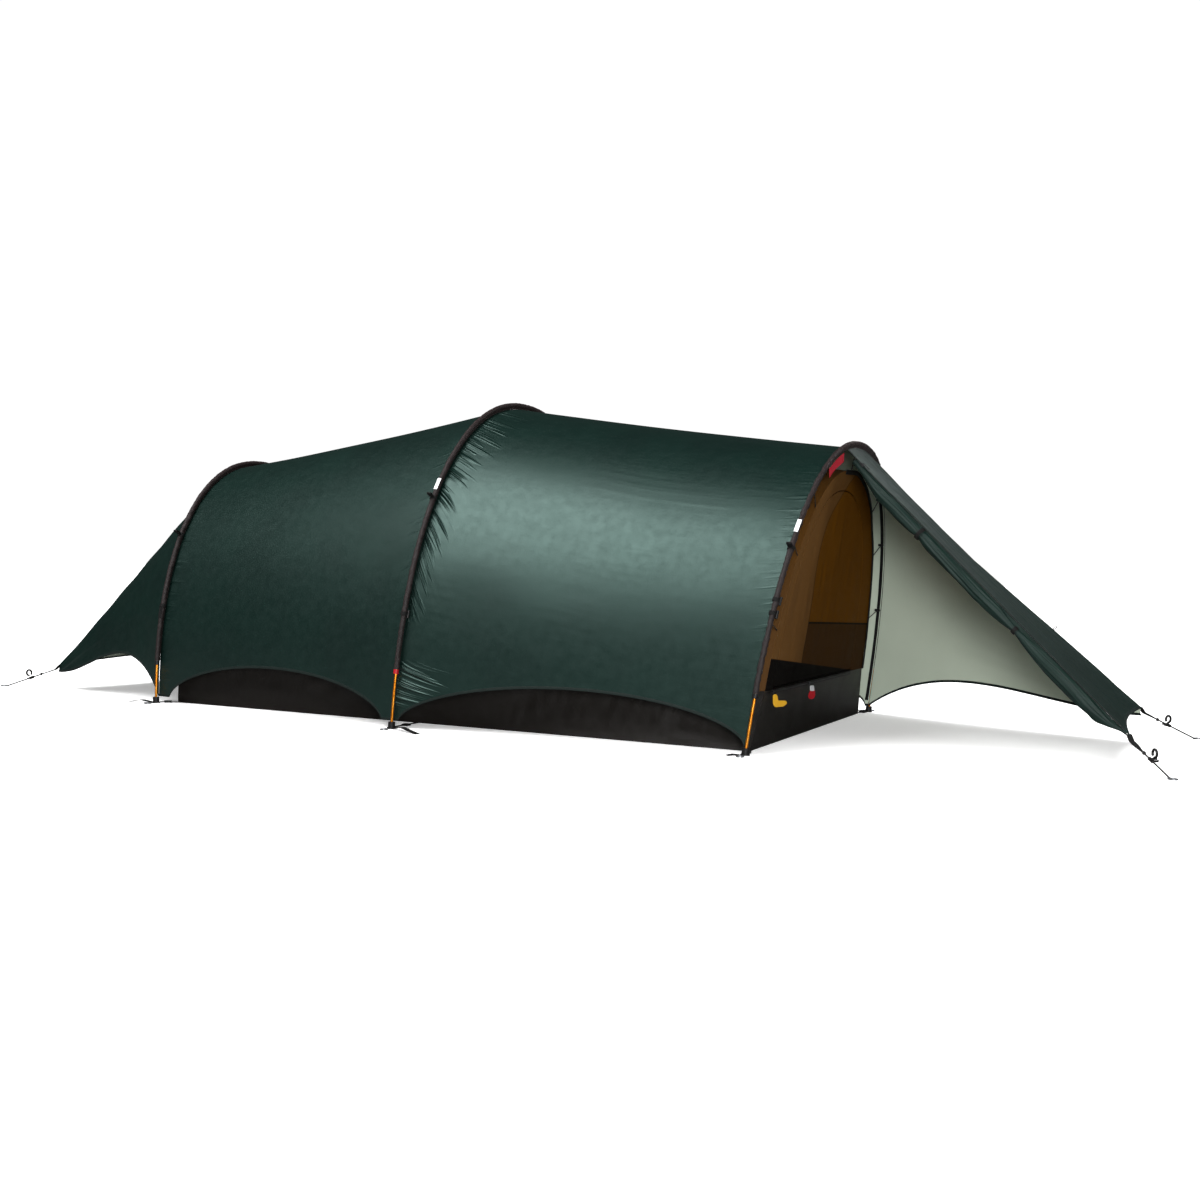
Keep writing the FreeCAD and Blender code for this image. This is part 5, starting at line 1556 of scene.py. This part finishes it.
def floor_stage():
    floor = bpy.data.meshes.new("floor")
    corners = [(x * 30.0, y * 30.0, 0) for x, y in ((-1, -1), (1, -1), (1, 1), (-1, 1))]
    floor.from_pydata(corners, [], [(0, 1, 2, 3)])
    pale = Finish("pale_floor", 0.8, Specular_IOR_Level=0.1, Emission_Color=(1, 1, 1, 1))
    seen = pale.add("LightPath", {}).outputs["Is Camera Ray"]
    pale.paint(pale.mix(seen, (FLOOR_BOUNCE,) * 3 + (1,), (0.94, 0.94, 0.94, 1)))
    pale.links.new(pale.number("MULTIPLY", seen, SHADOW_LIFT), pale.shader.inputs["Emission Strength"])
    floor.materials.append(pale.material)
    add_object("floor", floor)


def backdrop():
    world = bpy.data.worlds.new("studio")
    bpy.context.scene.world = world
    world.use_nodes = True
    nodes, links = world.node_tree.nodes, world.node_tree.links
    ray = nodes.new("ShaderNodeLightPath").outputs
    camera_part, diffuse_part = (nodes.new("ShaderNodeMath") for _ in range(2))
    for node, kind, amount in ((camera_part, "Is Camera Ray", BACKDROP["seen"]),
                               (diffuse_part, "Is Diffuse Ray", BACKDROP["diffuse"])):
        node.operation = "MULTIPLY_ADD"
        links.new(ray[kind], node.inputs[0])
        node.inputs[1].default_value = amount
    camera_part.inputs[2].default_value = BACKDROP["glossy"]
    links.new(camera_part.outputs[0], diffuse_part.inputs[2])
    nodes["Background"].inputs["Color"].default_value = (1, 1, 1, 1)
    links.new(diffuse_part.outputs[0], nodes["Background"].inputs["Strength"])


def studio():
    floor_stage()
    backdrop()
    sun = bpy.data.lights.new("overhead", "SUN")
    sun.energy = 3.9
    sun.angle = math.radians(55)
    holder = add_object("overhead", sun)
    holder.visible_glossy = False
    holder.rotation_euler = (math.radians(-6), math.radians(-8), 0)
    soft_light("key", (-1.50, -3.6, 4.9), (0.20, -0.6, 0.5), (3.8, 3.6), 400)
    soft_light("porch", (3.3, -5.2, 0.9), (1.6, 0.3, 0.5), (1.4, 1.0), 215)
    soft_light("ridge", (2.9, 3.2, 3.4), (1.7, -0.2, 0.6), (1.2, 0.9), 24)
    soft_light("front", (6.0, 0.6, 2.4), (1.2, 0.0, 0.4), (1.6, 1.6), 40)
    bpy.context.scene.view_settings.view_transform = "Standard"


camera()
guylines()
for hoop_name, one_hoop in HOOPS.items():
    sleeve(hoop_name, one_hoop)
outer_bays()
vestibule()
rear_vestibule()
vestibule_zip()
rolled_door()
roll_ties()
tray()
inner_canopies()
front_wall_and_door()
entrance_binding()
rear_wall()
sill_zip()
zip_pulls()
red_tab()
reflective_patches()
guy_loops()
ridge_loop()
ground_straps()
corner_straps()
kept_nodes()
studio()
